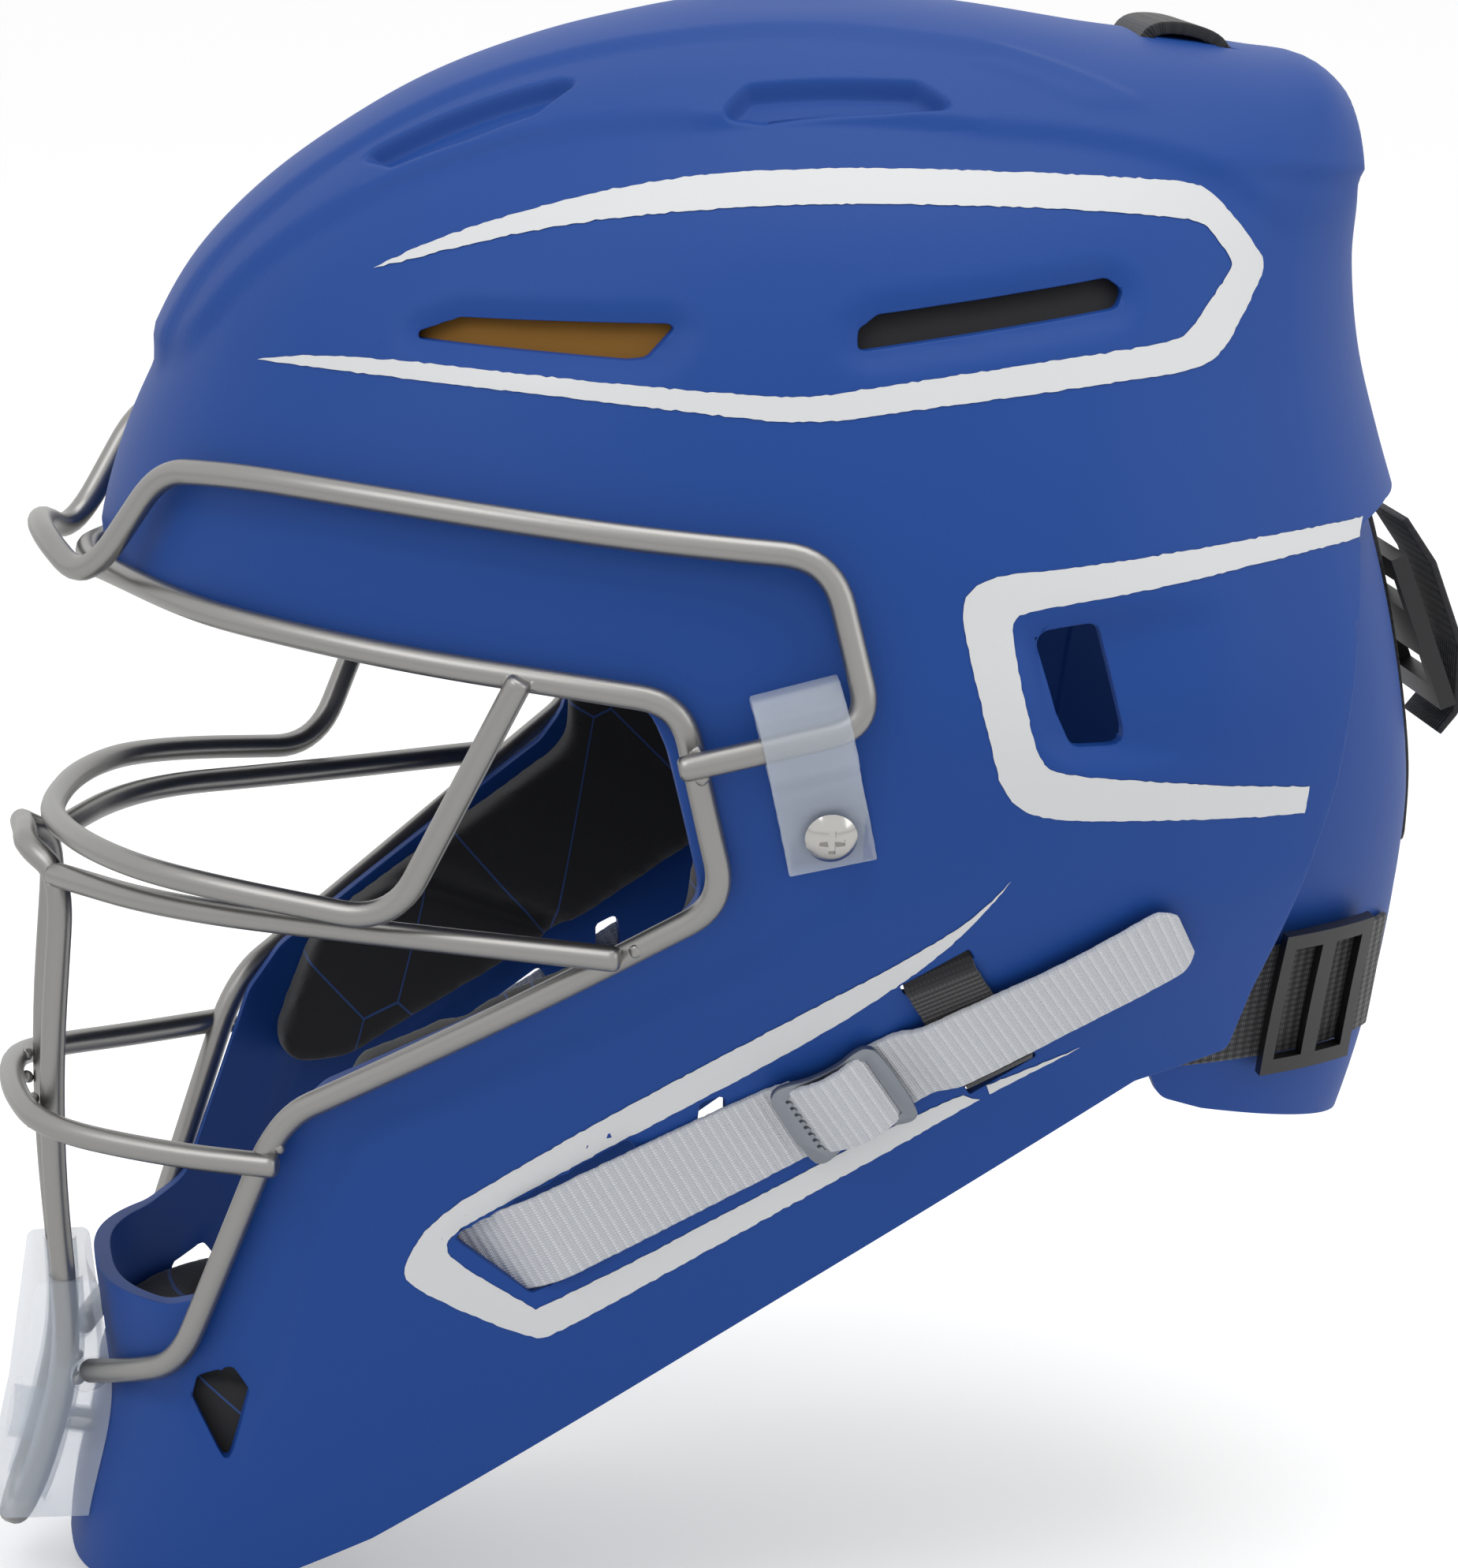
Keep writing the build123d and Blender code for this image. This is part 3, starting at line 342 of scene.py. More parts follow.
def mirrored_copy(obj, name):
    """A copy of an object on the other side of the head."""
    use(obj)
    bpy.ops.object.duplicate()
    twin = bpy.context.active_object
    twin.name = name
    twin.scale.x = -1
    bpy.ops.object.transform_apply(location=False, rotation=False, scale=True)
    return edited(twin, "flip_normals")


def both(name):
    """A node's name on each side of the head."""
    return name + "_left", name + "_right"


# Materials


def add_node(tree, kind, inputs=(), operation=None):
    """A shader node whose inputs are linked to sockets or set to values."""
    node = tree.nodes.new("ShaderNode" + kind)
    if operation:
        node.operation = operation
    for key, value in dict(inputs).items():
        if isinstance(value, bpy.types.NodeSocket):
            tree.links.new(value, node.inputs[key])
        else:
            node.inputs[key].default_value = value
    return node


def color_mix(tree, share, dark, light):
    """The output of a mix of two colours."""
    mix = add_node(tree, "Mix")
    mix.data_type = "RGBA"
    mix.inputs[6].default_value = (*dark, 1)
    mix.inputs[7].default_value = (*light, 1)
    tree.links.new(share, mix.inputs[0])
    return mix.outputs[2]


def grain_group():
    """A node group that gives a small bump of a chosen size and strength from object coordinates."""
    group = bpy.data.node_groups.get("Fine Grain")
    if group:
        return group
    group = bpy.data.node_groups.new("Fine Grain", "ShaderNodeTree")
    for name in ("Scale", "Strength"):
        group.interface.new_socket(name=name, in_out="INPUT", socket_type="NodeSocketFloat")
    group.interface.new_socket(name="Normal", in_out="OUTPUT", socket_type="NodeSocketVector")
    source, sink = group.nodes.new("NodeGroupInput"), group.nodes.new("NodeGroupOutput")
    where = add_node(group, "TexCoord").outputs["Object"]
    grain = add_node(group, "TexNoise", {"Detail": 3.0, "Vector": where, "Scale": source.outputs["Scale"]})
    bump = add_node(group, "Bump", {"Distance": 0.0002, "Height": grain.outputs["Fac"],
                                    "Strength": source.outputs["Strength"]})
    group.links.new(bump.outputs["Normal"], sink.inputs["Normal"])
    return group


def new_material(name, **values):
    """A material with its Principled values, its node tree and its shader."""
    material = bpy.data.materials.new(name)
    material.use_nodes = True
    tree = material.node_tree
    shader = tree.nodes["Principled BSDF"]
    for key, value in values.items():
        shader.inputs[key.replace("_", " ")].default_value = value
    return material, tree, shader


def plain(name, color, rough, metal=0.0, grain=900.0, strength=0.15, **extra):
    """A Principled material with a fine grain."""
    material = bpy.data.materials.get(name)
    if material:
        return material
    values = {"Base_Color": (*color, 1), "Roughness": rough, "Metallic": metal, **extra}
    material, tree, shader = new_material(name, **values)
    grit = add_node(tree, "Group")
    grit.node_tree = grain_group()
    grit.inputs["Scale"].default_value = grain
    grit.inputs["Strength"].default_value = strength
    tree.links.new(grit.outputs["Normal"], shader.inputs["Normal"])
    return material


def woven(name, dark, light, rib, dot):
    """A webbing material: ribs made of small stitches, from the strap's UVs in millimetres."""
    material, tree, shader = new_material(name, Roughness=0.75, Sheen_Weight=0.25)
    parts = add_node(tree, "SeparateXYZ", {"Vector": add_node(tree, "TexCoord").outputs["UV"]})

    def wave(axis, pitch):
        turn = add_node(tree, "Math", {0: parts.outputs[axis], 1: 2 * math.pi / pitch}, "MULTIPLY")
        return add_node(tree, "Math", {0: turn.outputs[0]}, "SINE").outputs[0]

    rows, dots, fine = wave("X", rib), wave("Y", dot), wave("X", rib / 4)
    waves = add_node(tree, "Math", {0: dots, 1: 0.5, 2: rows}, "MULTIPLY_ADD").outputs[0]
    light_share = add_node(tree, "MapRange", {"From Min": 0.75, "From Max": 1.35, "Value": waves})
    color = color_mix(tree, light_share.outputs["Result"], dark, light)
    tree.links.new(color, shader.inputs["Base Color"])
    height = add_node(tree, "Math", {0: fine, 1: 0.3, 2: waves}, "MULTIPLY_ADD")
    bump = add_node(tree, "Bump", {"Strength": 0.6, "Distance": 0.0003, "Height": height.outputs[0]})
    tree.links.new(bump.outputs["Normal"], shader.inputs["Normal"])
    return material


def paint(obj, material):
    """Gives an object its material."""
    obj.data.materials.clear()
    obj.data.materials.append(material)
    return obj


# The moulded shell


def shell_levels(step):
    """Heights from the crown down, spaced evenly along the shell's side."""
    levels = [RING_SHARES[0][0] * SHELL_HEIGHT]
    bottom = (RING_SHARES[-1][0] + 0.02) * SHELL_HEIGHT
    drop = 0.1
    while levels[-1] > bottom:
        z = levels[-1]
        here, below = ring(z), ring(z - drop)
        steep = max(math.hypot(below[k] - here[k], drop) for k in (0, 2)) / drop
        levels.append(z - step / steep)
    return levels


def ring_points(z, shrink=1.0, lift=0.0):
    """The places of one ring, drawn in towards its middle and lifted."""
    front, back, side, middle, front_power, back_power = ring(z)
    centre = (front + back) / 2
    points = []
    for k in range(GRID_AROUND):
        angle = 2 * math.pi * k / GRID_AROUND
        c, s = math.cos(angle), math.sin(angle)
        power = front_power if c > 0 else back_power
        share = abs(c) ** (2 / power)
        y = middle - (middle - front) * share if c > 0 else middle + (back - middle) * share
        x = side * math.copysign(abs(s) ** (2 / power), s)
        points.append((x * shrink, centre + (y - centre) * shrink, z + lift))
    return points


def shell_grid():
    """Points and faces of the bare outer form, a cap of rings over rows of rings."""
    top_level = RING_SHARES[0][0] * SHELL_HEIGHT
    shares = [k / CAP_RINGS for k in range(1, CAP_RINGS + 1)]
    rows = [ring_points(top_level, share, CAP_LIFT * (1 - share * share)) for share in shares]
    rows += [ring_points(z) for z in shell_levels(GRID_STEP)[1:]]
    points = [p for row in rows for p in row]
    faces = []
    for r in range(len(rows) - 1):
        for k in range(GRID_AROUND):
            a, b = r * GRID_AROUND + k, r * GRID_AROUND + (k + 1) % GRID_AROUND
            faces.append((a, a + GRID_AROUND, b + GRID_AROUND, b))
    pole = len(points)
    front, back = ring(top_level)[:2]
    points.append((0, (front + back) / 2, top_level + CAP_LIFT))
    faces += [(pole, k, (k + 1) % GRID_AROUND) for k in range(GRID_AROUND)]
    return points, faces


def relief(points):
    """How far each place of the shell stands out of its bare form."""
    x, y, z = np.abs(points[:, 0]), points[:, 1], points[:, 2]
    views = {"side": points[:, 1:3], "plan": np.stack([x, y], axis=1)}
    cheek = fade(-x, -45, -30)
    crown = fade(-z, -100, -92)
    low_rear = fade(z, 120, 132) * fade(-y, -95, -60)
    slope = np.clip((88 - y) / 34, 0, 1)
    parts = {"all": (), "crest": (crown, 1 - low_rear), "rib": (crown, fade(y, 46, 84)),
             "cap": (fade(-y, -112, -72),), "scoop": (slope, slope, 3 - 2 * slope, cheek),
             "cheek": (cheek,), "crown": (crown,)}
    height = np.zeros(len(points))
    for view, outline, corner, rise, full, gone, part in FORMS:
        shape = rounded(outline, corner) if corner else outline
        step = rise * fade(outline_distance(views[view], shape), full, gone)
        for share in parts[part]:
            step = step * share
        height += step
    away = (y - REAR_CORNER[0]) ** 2 + (z - REAR_CORNER[1]) ** 2
    return height + CORNER_RISE * np.exp(-away / 50) * fade(x, 30, 60)


def finer_vents(obj):
    """Splits the shell's faces round the crown vents, so that their walls come out crisp."""
    work = bmesh.new()
    work.from_mesh(obj.data)
    middles = np.array([tuple(f.calc_center_median() / MM) for f in work.faces])
    plan = np.stack([np.abs(middles[:, 0]), middles[:, 1]], axis=1)
    gap = np.minimum(outline_distance(plan, TOP_FRONT_VENT), outline_distance(plan, TOP_MID_VENT))
    chosen = (gap < 4.5) & (middles[:, 2] > 100)
    edges = {e for f, near in zip(work.faces, chosen) if near for e in f.edges}
    bmesh.ops.subdivide_edges(work, edges=sorted(edges, key=lambda e: e.index), cuts=2, use_grid_fill=True)
    bmesh.ops.triangulate(work, faces=[f for f in work.faces if len(f.verts) > 4])
    work.to_mesh(obj.data)
    work.free()
    obj.data.update()
    return obj


def cleaned_rims(obj, merge=0.42):
    """Joins the crowded points that cutting leaves beside sharp rims."""
    work = bmesh.new()
    work.from_mesh(obj.data)

    def rim():
        sharp = [e for e in work.edges if len(e.link_faces) == 2 and e.calc_face_angle(0) > math.radians(50)]
        crowded = {v for e in sharp for v in e.verts}
        return [v for v in work.verts if v in crowded]

    bmesh.ops.remove_doubles(work, verts=rim(), dist=merge * MM)
    near = bmesh.ops.find_doubles(work, verts=work.verts, keep_verts=rim(), dist=merge * MM)
    bmesh.ops.weld_verts(work, targetmap=near["targetmap"])
    bmesh.ops.dissolve_degenerate(work, edges=work.edges, dist=0.02 * MM)
    work.to_mesh(obj.data)
    work.free()
    obj.data.update()
    return obj


def shell_cutters():
    """The closed solids of every opening and slot."""
    reach = HALF_WIDTH + 20
    cutters = [prism(rounded(outline, radius), "X", -reach, reach) for outline, radius in SIDE_CUTS]
    crown_cuts = [rounded(outline, 0.6, 2) for outline in TOP_SLOTS]
    crown_cuts += [[(-x, y) for x, y in outline] for outline in crown_cuts]
    turns = (-1, -1), (1, -1), (1, 1), (-1, 1)
    for y in CROWN_SLOTS:
        crown_cuts.append([(a * CROWN_SLOT[0], y + b * CROWN_SLOT[1]) for a, b in turns])
    cutters += [prism(outline, "Z", 125, 200) for outline in crown_cuts]
    for (y0, z0), (y1, z1) in (KEEPER_ENDS, KEEPER_ENDS[::-1]):
        along = Vector((y1 - y0, z1 - z0)).normalized()
        across = Vector((-along.y, along.x))
        slot = [Vector((y0, z0)) + along * a * KEEPER_SLOT[0] + across * b * KEEPER_SLOT[1] for a, b in turns]
        cutters.append(prism([tuple(c) for c in slot], "X", -reach, reach))
    return cutters


def make_shell():
    """The shell: bare form, relief, wall, openings and softened rims."""
    obj = mesh_object("shell_skin", *shell_grid())
    modified(obj, "SMOOTH", factor=0.5, iterations=6)
    edited(obj, "normals_make_consistent", inside=False)
    finer_vents(obj)
    mesh = obj.data
    flat = np.zeros(len(mesh.vertices) * 3)
    mesh.vertices.foreach_get("co", flat)
    places = flat.reshape(-1, 3)
    normals = np.array([v.normal for v in mesh.vertices])
    places = places + normals * relief(places / MM)[:, None] * MM
    mesh.vertices.foreach_set("co", places.reshape(-1))
    mesh.update()
    modified(obj, "SOLIDIFY", thickness=SHELL_WALL * MM, offset=-1, use_even_offset=True)
    cut(obj, shell_cutters())
    cleaned_rims(obj)
    bevelled(obj, RIM_BEVEL, 50, use_clamp_overlap=False, miter_outer="MITER_ARC")
    smooth(obj, 40)
    return modified(obj, "WEIGHTED_NORMAL", keep_sharp=True, weight=80)


# Painted stripes, as side-view outlines
LOOP_BAND = [
    (-79.5, 118.4), (-67.8, 124.2), (-54.3, 128.9), (-39.2, 133.1), (-25.5, 135.7), (-11.8, 137.5),
    (8.6, 138.2), (24.9, 137.8), (51.3, 136.5), (72.9, 134.6), (84, 133.4), (89.3, 130.8), (98, 119.5),
    (98.9, 116), (93, 108.6), (88, 102.4), (82, 98.7), (64.7, 97.8), (46.6, 96.4), (23.6, 94.5), (0, 91.8),
    (-18.3, 93.9), (-54.5, 97.6), (-89.9, 99.7), (-101.9, 99.7), (-93, 101.9), (-75.6, 102.3), (-47.7, 100.2),
    (-21.5, 98.2), (0.3, 96.6), (15.1, 98.7), (45, 102), (75.3, 104.2), (79.5, 105.6), (85.6, 111.9),
    (90.7, 116.6), (90.9, 118.6), (87.1, 124), (84.4, 126.4), (70, 128.4), (48.6, 130.4), (16.9, 131.9),
    (-11.4, 131.5), (-38.6, 128.8), (-58.7, 124.6)]
LOOP_SHARP = (0, 24)
C_BAND = [
    (125.2, 65.1), (105.8, 66.3), (84.9, 66.1), (47, 63.7), (33, 63), (28, 58.9), (28.3, 52), (33.2, 30),
    (36, 20.5), (43, 15), (65, 13.4), (102, 10.2), (102.7, 15.7), (64.5, 21.8), (48.6, 24), (43, 26.5),
    (40.7, 35.4), (37.9, 49), (37.9, 55), (42, 56.3), (58.8, 58), (98.6, 62.2), (123.5, 61.8)]
C_SHARP = (0, 11, 12, 22)
V_BAND = [
    (39, 2.4), (30.8, -6.9), (16.3, -16.8), (-14.5, -36.5), (-53.5, -61.6), (-71.5, -73.5), (-77.6, -84),
    (-76.5, -88.8), (-51, -100.8), (-46.5, -99.3), (-16.1, -81.9), (20.9, -61), (39.1, -49.6), (58.9, -38.8),
    (43.5, -45.2), (28.8, -51.1), (2.2, -65.6), (-39.4, -88.2), (-50.8, -93.8), (-67.3, -83.2),
    (-69.2, -79.7), (-67.2, -76.6), (-48.9, -65.6), (0.1, -35.9), (20.5, -19.6), (30.2, -9.6)]
V_SHARP = (0, 13, 18)


# How far the stripe paint stands off, its mesh, and the wobble of its edge. The seed
# isn't 0, which would take the time and give another edge each run.
PAINT_LIFT, PAINT_GRID = 0.16, 2.2
EDGE_STEP, EDGE_WOBBLE, EDGE_SEED = 1.1, 0.28, 1


def ragged(outline):
    """An outline with points a step apart, each moved a little, as a mask leaves a painted edge."""
    noise.seed_set(EDGE_SEED)
    result = []
    for i, p in enumerate(outline):
        a, b = Vector(p), Vector(outline[(i + 1) % len(outline)])
        count = max(1, round((b - a).length / EDGE_STEP))
        for k in range(count):
            q = a.lerp(b, k / count)
            wobble = noise.noise_vector(Vector((q.x * 0.9, q.y * 0.9, 3.0)))
            result.append((q.x + wobble.x * EDGE_WOBBLE, q.y + wobble.y * EDGE_WOBBLE))
    return result


def decal(name, outline, tree, material):
    """A thin coat of paint on the near cheek inside a side-view outline."""
    loop = ragged(outline)
    count = len(loop)
    edges = [(i, (i + 1) % count) for i in range(count)]
    low = [min(p[k] for p in loop) for k in (0, 1)]
    steps = [int((max(p[k] for p in loop) - low[k]) / PAINT_GRID) + 1 for k in (0, 1)]
    inner = [(low[0] + PAINT_GRID * i, low[1] + PAINT_GRID * j)
             for i in range(steps[0]) for j in range(steps[1])]
    keep = outline_distance(inner, loop) < -0.8
    points = loop + [p for p, k in zip(inner, keep) if k]
    flat, _, faces, *_ = delaunay_2d_cdt([Vector(p) for p in points], edges, [], 1, 1e-5)
    middles = [tuple(sum((flat[i] for i in f), Vector((0, 0))) / len(f)) for f in faces]
    inside = outline_distance(middles, loop) < 0
    places = []
    for p in flat:
        hit, normal, _, _ = tree.ray_cast(Vector((0.2, p.x * MM, p.y * MM)), Vector((-1, 0, 0)), 0.19)
        places.append(tuple((hit + normal * PAINT_LIFT * MM) / MM) if hit else None)
    kept = [tuple(f) for f, ok in zip(faces, inside) if ok and all(places[i] for i in f)]
    used = sorted({i for f in kept for i in f})
    order = {old: new for new, old in enumerate(used)}
    obj = mesh_object(name, [places[i] for i in used], [tuple(order[i] for i in f) for f in kept])
    if sum(f.normal.x for f in obj.data.polygons) < 0:
        obj.data.flip_normals()
    bpy.ops.object.shade_smooth()
    return paint(obj, material)


# Straps


def ribbon(name, frames, width, thickness, material, uv_start=0.0, end_round=0.0):
    """A strap through frames of (place, way across, way out), its lower face on the places."""
    last = frames[-1][0]
    across_steps = max(4, round(width / 1.3))
    points, faces, uvs = [], [], []
    run = uv_start
    for i, (place, across, out) in enumerate(frames):
        if i:
            run += (place - frames[i - 1][0]).length
        for k in range(across_steps + 1):
            w = (k / across_steps - 0.5) * width
            fray = 0.18 * noise.noise(Vector((run * 1.3, w, 5.0))) if k in (0, across_steps) else 0
            left = (last - place).length
            if left < end_round:
                w *= 1 - 0.42 * (1 - left / end_round) ** 2.2
            points.append(tuple(place + across * (w + fray)))
            uvs.append((run, w + width))
    row = across_steps + 1
    for a in (i * row + k for i in range(len(frames) - 1) for k in range(across_steps)):
        faces.append((a, a + row, a + row + 1, a + 1))
    obj = mesh_object(name, points, faces, uvs)
    if sum(f.normal.dot(frames[0][2]) for f in obj.data.polygons[:across_steps]) < 0:
        edited(obj, "flip_normals")
    modified(obj, "SOLIDIFY", thickness=thickness * MM, offset=1, use_even_offset=True)
    bevelled(obj, 0.35, 60)
    return paint(smooth(obj, 45), material)


def cheek_frames(start, end, heights, step=1.0):
    """Frames on a straight side-view run on the near cheek, at heights off it by shares of its length."""
    start, end = Vector(start), Vector(end)
    way = (end - start).normalized()
    count = max(2, round((end - start).length / step))
    frames = []
    for i in range(count + 1):
        share = i / count
        p = start.lerp(end, share)
        off = heights[0][1]
        for (s0, h0), (s1, h1) in zip(heights, heights[1:]):
            if s0 <= share <= s1:
                t = (share - s0) / max(s1 - s0, 1e-9)
                off = h0 + (h1 - h0) * t * t * (3 - 2 * t)
        place, out = beside(p.x, p.y, off)
        ahead, _ = beside(p.x + way.x, p.y + way.y, off)
        along = (ahead - place).normalized()
        frames.append((place, out.cross(along).normalized(), out))
    return frames


def on_strap(distance):
    """A side-view place on the chin strap's line, a distance from the slider."""
    first, last = (SLIDER, STRAP_END) if distance > 0 else (STRAP_START, SLIDER)
    way = (Vector(last) - Vector(first)).normalized()
    return Vector(SLIDER) + way * distance


STRAP_WIDTH, STRAP_THICKNESS = 19, 1.5
KEEPER_WIDTH, KEEPER_THICKNESS = 15, 1.4
CROWN_STRAP_WIDTH, CROWN_STRAP_THICKNESS = 25, 2.6
HUMP_REACH, HUMP_RISE = 9.1, 3.6
TAIL_WEAVE_START, TAIL_ROUND = 50, 5.0


def make_straps():
    """The near chin strap run, its hump and loose tail, the keeper, and their mirror images."""
    white = woven("white webbing", (0.58, 0.60, 0.64), (0.82, 0.83, 0.85), rib=2.1, dot=0.62)
    black = woven("black elastic", (0.010, 0.010, 0.012), (0.030, 0.030, 0.034), rib=1.2, dot=0.9)
    heights = [(0, -7.2), (0.05, -6.8), (0.28, 0.3), (0.92, 0.35), (1, 1.2)]
    frames = cheek_frames(STRAP_START, on_strap(-7.2), heights)
    run = ribbon("chin_strap_cloth_left", frames, STRAP_WIDTH, STRAP_THICKNESS, white)
    first, out = beside(*SLIDER)
    second, _ = beside(*on_strap(6))
    along = (second - first).normalized()
    across = out.cross(along).normalized()
    hump = []
    for i in range(29):
        t = i / 28
        rise = HUMP_RISE * math.sin(math.pi * t) ** 0.7
        place = first + out * (1.2 + rise) + along * (2 * HUMP_REACH * t - HUMP_REACH)
        hump.append((place, across, out))
    loose = cheek_frames(on_strap(9.8), STRAP_END, [(0, 0.6), (0.08, 0.4), (0.2, 2.5), (1, 2.35)])
    tail = ribbon("strap_tail_cloth_left", hump + loose, STRAP_WIDTH, STRAP_THICKNESS, white,
                  TAIL_WEAVE_START, TAIL_ROUND)
    band = cheek_frames(*KEEPER_ENDS, [(0, -2.6), (0.06, 0.3), (0.94, 0.3), (1, -2.6)], 0.8)
    keeper = ribbon("keeper_cloth_left", band, KEEPER_WIDTH, KEEPER_THICKNESS, black)
    for node, piece, slot in (("chin_strap", run, "white_strap"), ("strap_tail", tail, "white_strap"),
                              ("keeper_band", keeper, "black_strap")):
        twin = mirrored_copy(piece, piece.name.replace("left", "right"))
        for obj, side in zip((piece, twin), both(node)):
            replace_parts(obj, side)
            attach(obj, "shell")


def make_crown_strap(material):
    """The braided strap that stands a little out of the crown between its two slots."""
    front, back = CROWN_SLOTS
    frames = []
    for i in range(29):
        t = i / 28
        y = front - 0.4 + (back - front + 0.8) * t
        top = max(crown_height(y, 0.0), crown_height(y, 12.0))
        rise = 3.0 * math.sin(math.pi * t) ** 0.5 - 4.5 * abs(2 * t - 1) ** 9
        frames.append((Vector((0, y, top + rise)), Vector((1, 0, 0)), Vector((0, 0, 1))))
    strap = ribbon("crown_strap_cloth", frames, CROWN_STRAP_WIDTH, CROWN_STRAP_THICKNESS, material)
    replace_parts(strap, "crown_strap")
    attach(strap, "shell")


def crown_height(y, x):
    """The height of the shell's outer face over a place seen from above."""
    low, high = 0.3 * SHELL_HEIGHT, RING_SHARES[0][0] * SHELL_HEIGHT
    for _ in range(24):
        z = (low + high) / 2
        front, back = ring(z)[:2]
        if front < y < back and skin_x(y, z) > x:
            low = z
        else:
            high = z
    return low


# Pieces made from the frame's own solids
PAD_VOXEL = 1.6


def copy_of(node, name):
    """A loose copy of a CAD piece that can be remeshed."""
    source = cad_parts[node]
    obj = linked(name, source.data.copy())
    obj.matrix_world = source.matrix_world.copy()
    bpy.ops.object.transform_apply(location=True, rotation=True, scale=True)
    return obj


def soft_copy(node, name, material, rounds):
    """A foam pad shaped from its solid: remeshed, its edges rolled over and its cloth a little uneven."""
    obj = copy_of(node, name)
    modified(obj, "REMESH", mode="VOXEL", voxel_size=PAD_VOXEL * MM)
    modified(obj, "SMOOTH", factor=0.6, iterations=rounds)
    for v in obj.data.vertices:
        bump = noise.noise(v.co / MM * 0.05) * 0.25 + noise.noise(v.co / MM * 0.16) * 0.1
        v.co += v.normal * bump * MM
    obj.data.update()
    use(obj)
    bpy.ops.object.shade_smooth()
    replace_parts(paint(obj, material), node)
    return obj


def strap_copy(node, name, material):
    """A webbing piece shaped from its solid, its edges rounded and its faces given lengths for the weave."""
    obj = copy_of(node, name)
    edited(obj, "remove_doubles", threshold=0.00001)
    edited(obj, "tris_convert_to_quads")
    layer = obj.data.uv_layers[0] if obj.data.uv_layers else obj.data.uv_layers.new(name="UVMap")
    spans = np.ptp([v.co for v in obj.data.vertices], axis=0)
    long_way = 2 if spans[2] >= max(spans[0], spans[1]) else 1
    for loop in obj.data.loops:
        co = obj.data.vertices[loop.vertex_index].co / MM
        layer.data[loop.index].uv = (co[long_way], co[0] if abs(co[0]) < 20 else co[2])
    bevelled(obj, 0.3, 60)
    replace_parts(paint(smooth(obj, 40), material), node)
    return obj


def dress(node, material, width):
    """Gives a rigid CAD piece its material, smooth shading and softened edges."""
    obj = smooth(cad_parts[node], 35)
    modifier = obj.modifiers.new("edges", "BEVEL")
    modifier.width = width * MM
    modifier.segments = 2
    modifier.limit_method = "ANGLE"
    modifier.angle_limit = math.radians(40)
    modifier.harden_normals = True
    paint(obj, material)


class HelmetSettings(bpy.types.PropertyGroup):
    shell_color: bpy.props.FloatVectorProperty(
        name="Shell", subtype="COLOR", size=3, default=(0.0105, 0.0590, 0.2750), min=0, max=1)
    stripe_color: bpy.props.FloatVectorProperty(
        name="Stripes", subtype="COLOR", size=3, default=(0.66, 0.67, 0.68), min=0, max=1)
    wire_rough: bpy.props.FloatProperty(name="Wire roughness", default=0.34, min=0, max=1)
    pad_softness: bpy.props.IntProperty(name="Pad rounding", default=12, min=0, max=40)


class HELMET_OT_shell(bpy.types.Operator):
    """Makes the moulded shell and its painted stripes"""
    bl_idname = "helmet.shell"
    bl_label = "Shell"

    def execute(self, context):
        settings = context.scene.helmet
        blue = plain("shell blue", tuple(settings.shell_color), 0.5, grain=1500.0, strength=0.12)
        blue.node_tree.nodes["Principled BSDF"].inputs["Specular IOR Level"].default_value = 0.22
        shell = make_shell()
        paint(shell, blue)
        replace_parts(shell, "outer_shell")
        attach(shell, "shell")
        tree = BVHTree.FromObject(shell, context.evaluated_depsgraph_get())
        white = plain("stripe paint", tuple(settings.stripe_color), 0.5, grain=1500.0, strength=0.12)
        bands = {"loop": (LOOP_BAND, LOOP_SHARP), "ear": (C_BAND, C_SHARP), "jaw": (V_BAND, V_SHARP)}
        stripes = [decal("stripe_" + name + "_left", softened(band, sharp), tree, white)
                   for name, (band, sharp) in bands.items()]
        for stripe in stripes:
            twin = mirrored_copy(stripe, stripe.name.replace("left", "right"))
            for obj in (stripe, twin):
                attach(obj, "shell")
        dress("back_plate", blue, 0.7)
        return {"FINISHED"}


# The cage: points beside the cheek are (y, z, distance off the shell, bend reach)
# and free points are (x, y, z, bend reach). Every half is mirrored.
WIRE_RADIUS, BEAD_RADIUS = 2.6, 1.4
PERIMETER_FRONT = [(9, -134.6, 54.0, 30), (17.8, -131.2, 53.8, 30), (49.8, -118.6, 52.3, 30)]
PERIMETER_SIDE = [
    (-105.4, 50.5, 2.0, 30), (-77.5, 46.7, 2.0, 30), (-45.2, 42.9, 2.0, 30), (-26.7, 40.2, 2.0, 8),
    (-17.4, 0.2, 2.0, 9), (-52.1, -22.0, 2.0, 30), (-88.1, -44.9, 2.0, 30), (-101.0, -52.9, 2.0, 12),
    (-115.8, -93.3, 2.0, 30)]
PERIMETER_END = [(43.0, -122.6, -108.6, 12), (30.5, -131.6, -113.8, 12), (15.0, -140.1, -118.6, 0)]
VISOR_SIDE = [
    (-27.0, 29.0, 7.0, 0), (-14.0, 31.4, 5.4, 20), (9.0, 36.1, 5.2, 8), (2.5, 66.7, 5.2, 9.5),
    (-31.0, 70.0, 5.3, 20), (-58.0, 73.3, 5.3, 25), (-84.6, 76.2, 5.3, 25), (-104.4, 77.5, 5.3, 20)]
VISOR_FRONT = [(39.0, -121.5, 77.5, 8), (29.8, -136.7, 53.2, 12), (13.0, -144.3, 60.5, 60)]
EYE_BAR = [
    (99.0, -57.1, 45.0, 0), (82.6, -80.9, -6.5, 11), (62.6, -120.5, -1.3, 60), (40.3, -135.6, -0.3, 60),
    (10.1, -143.4, -0.7, 60)]
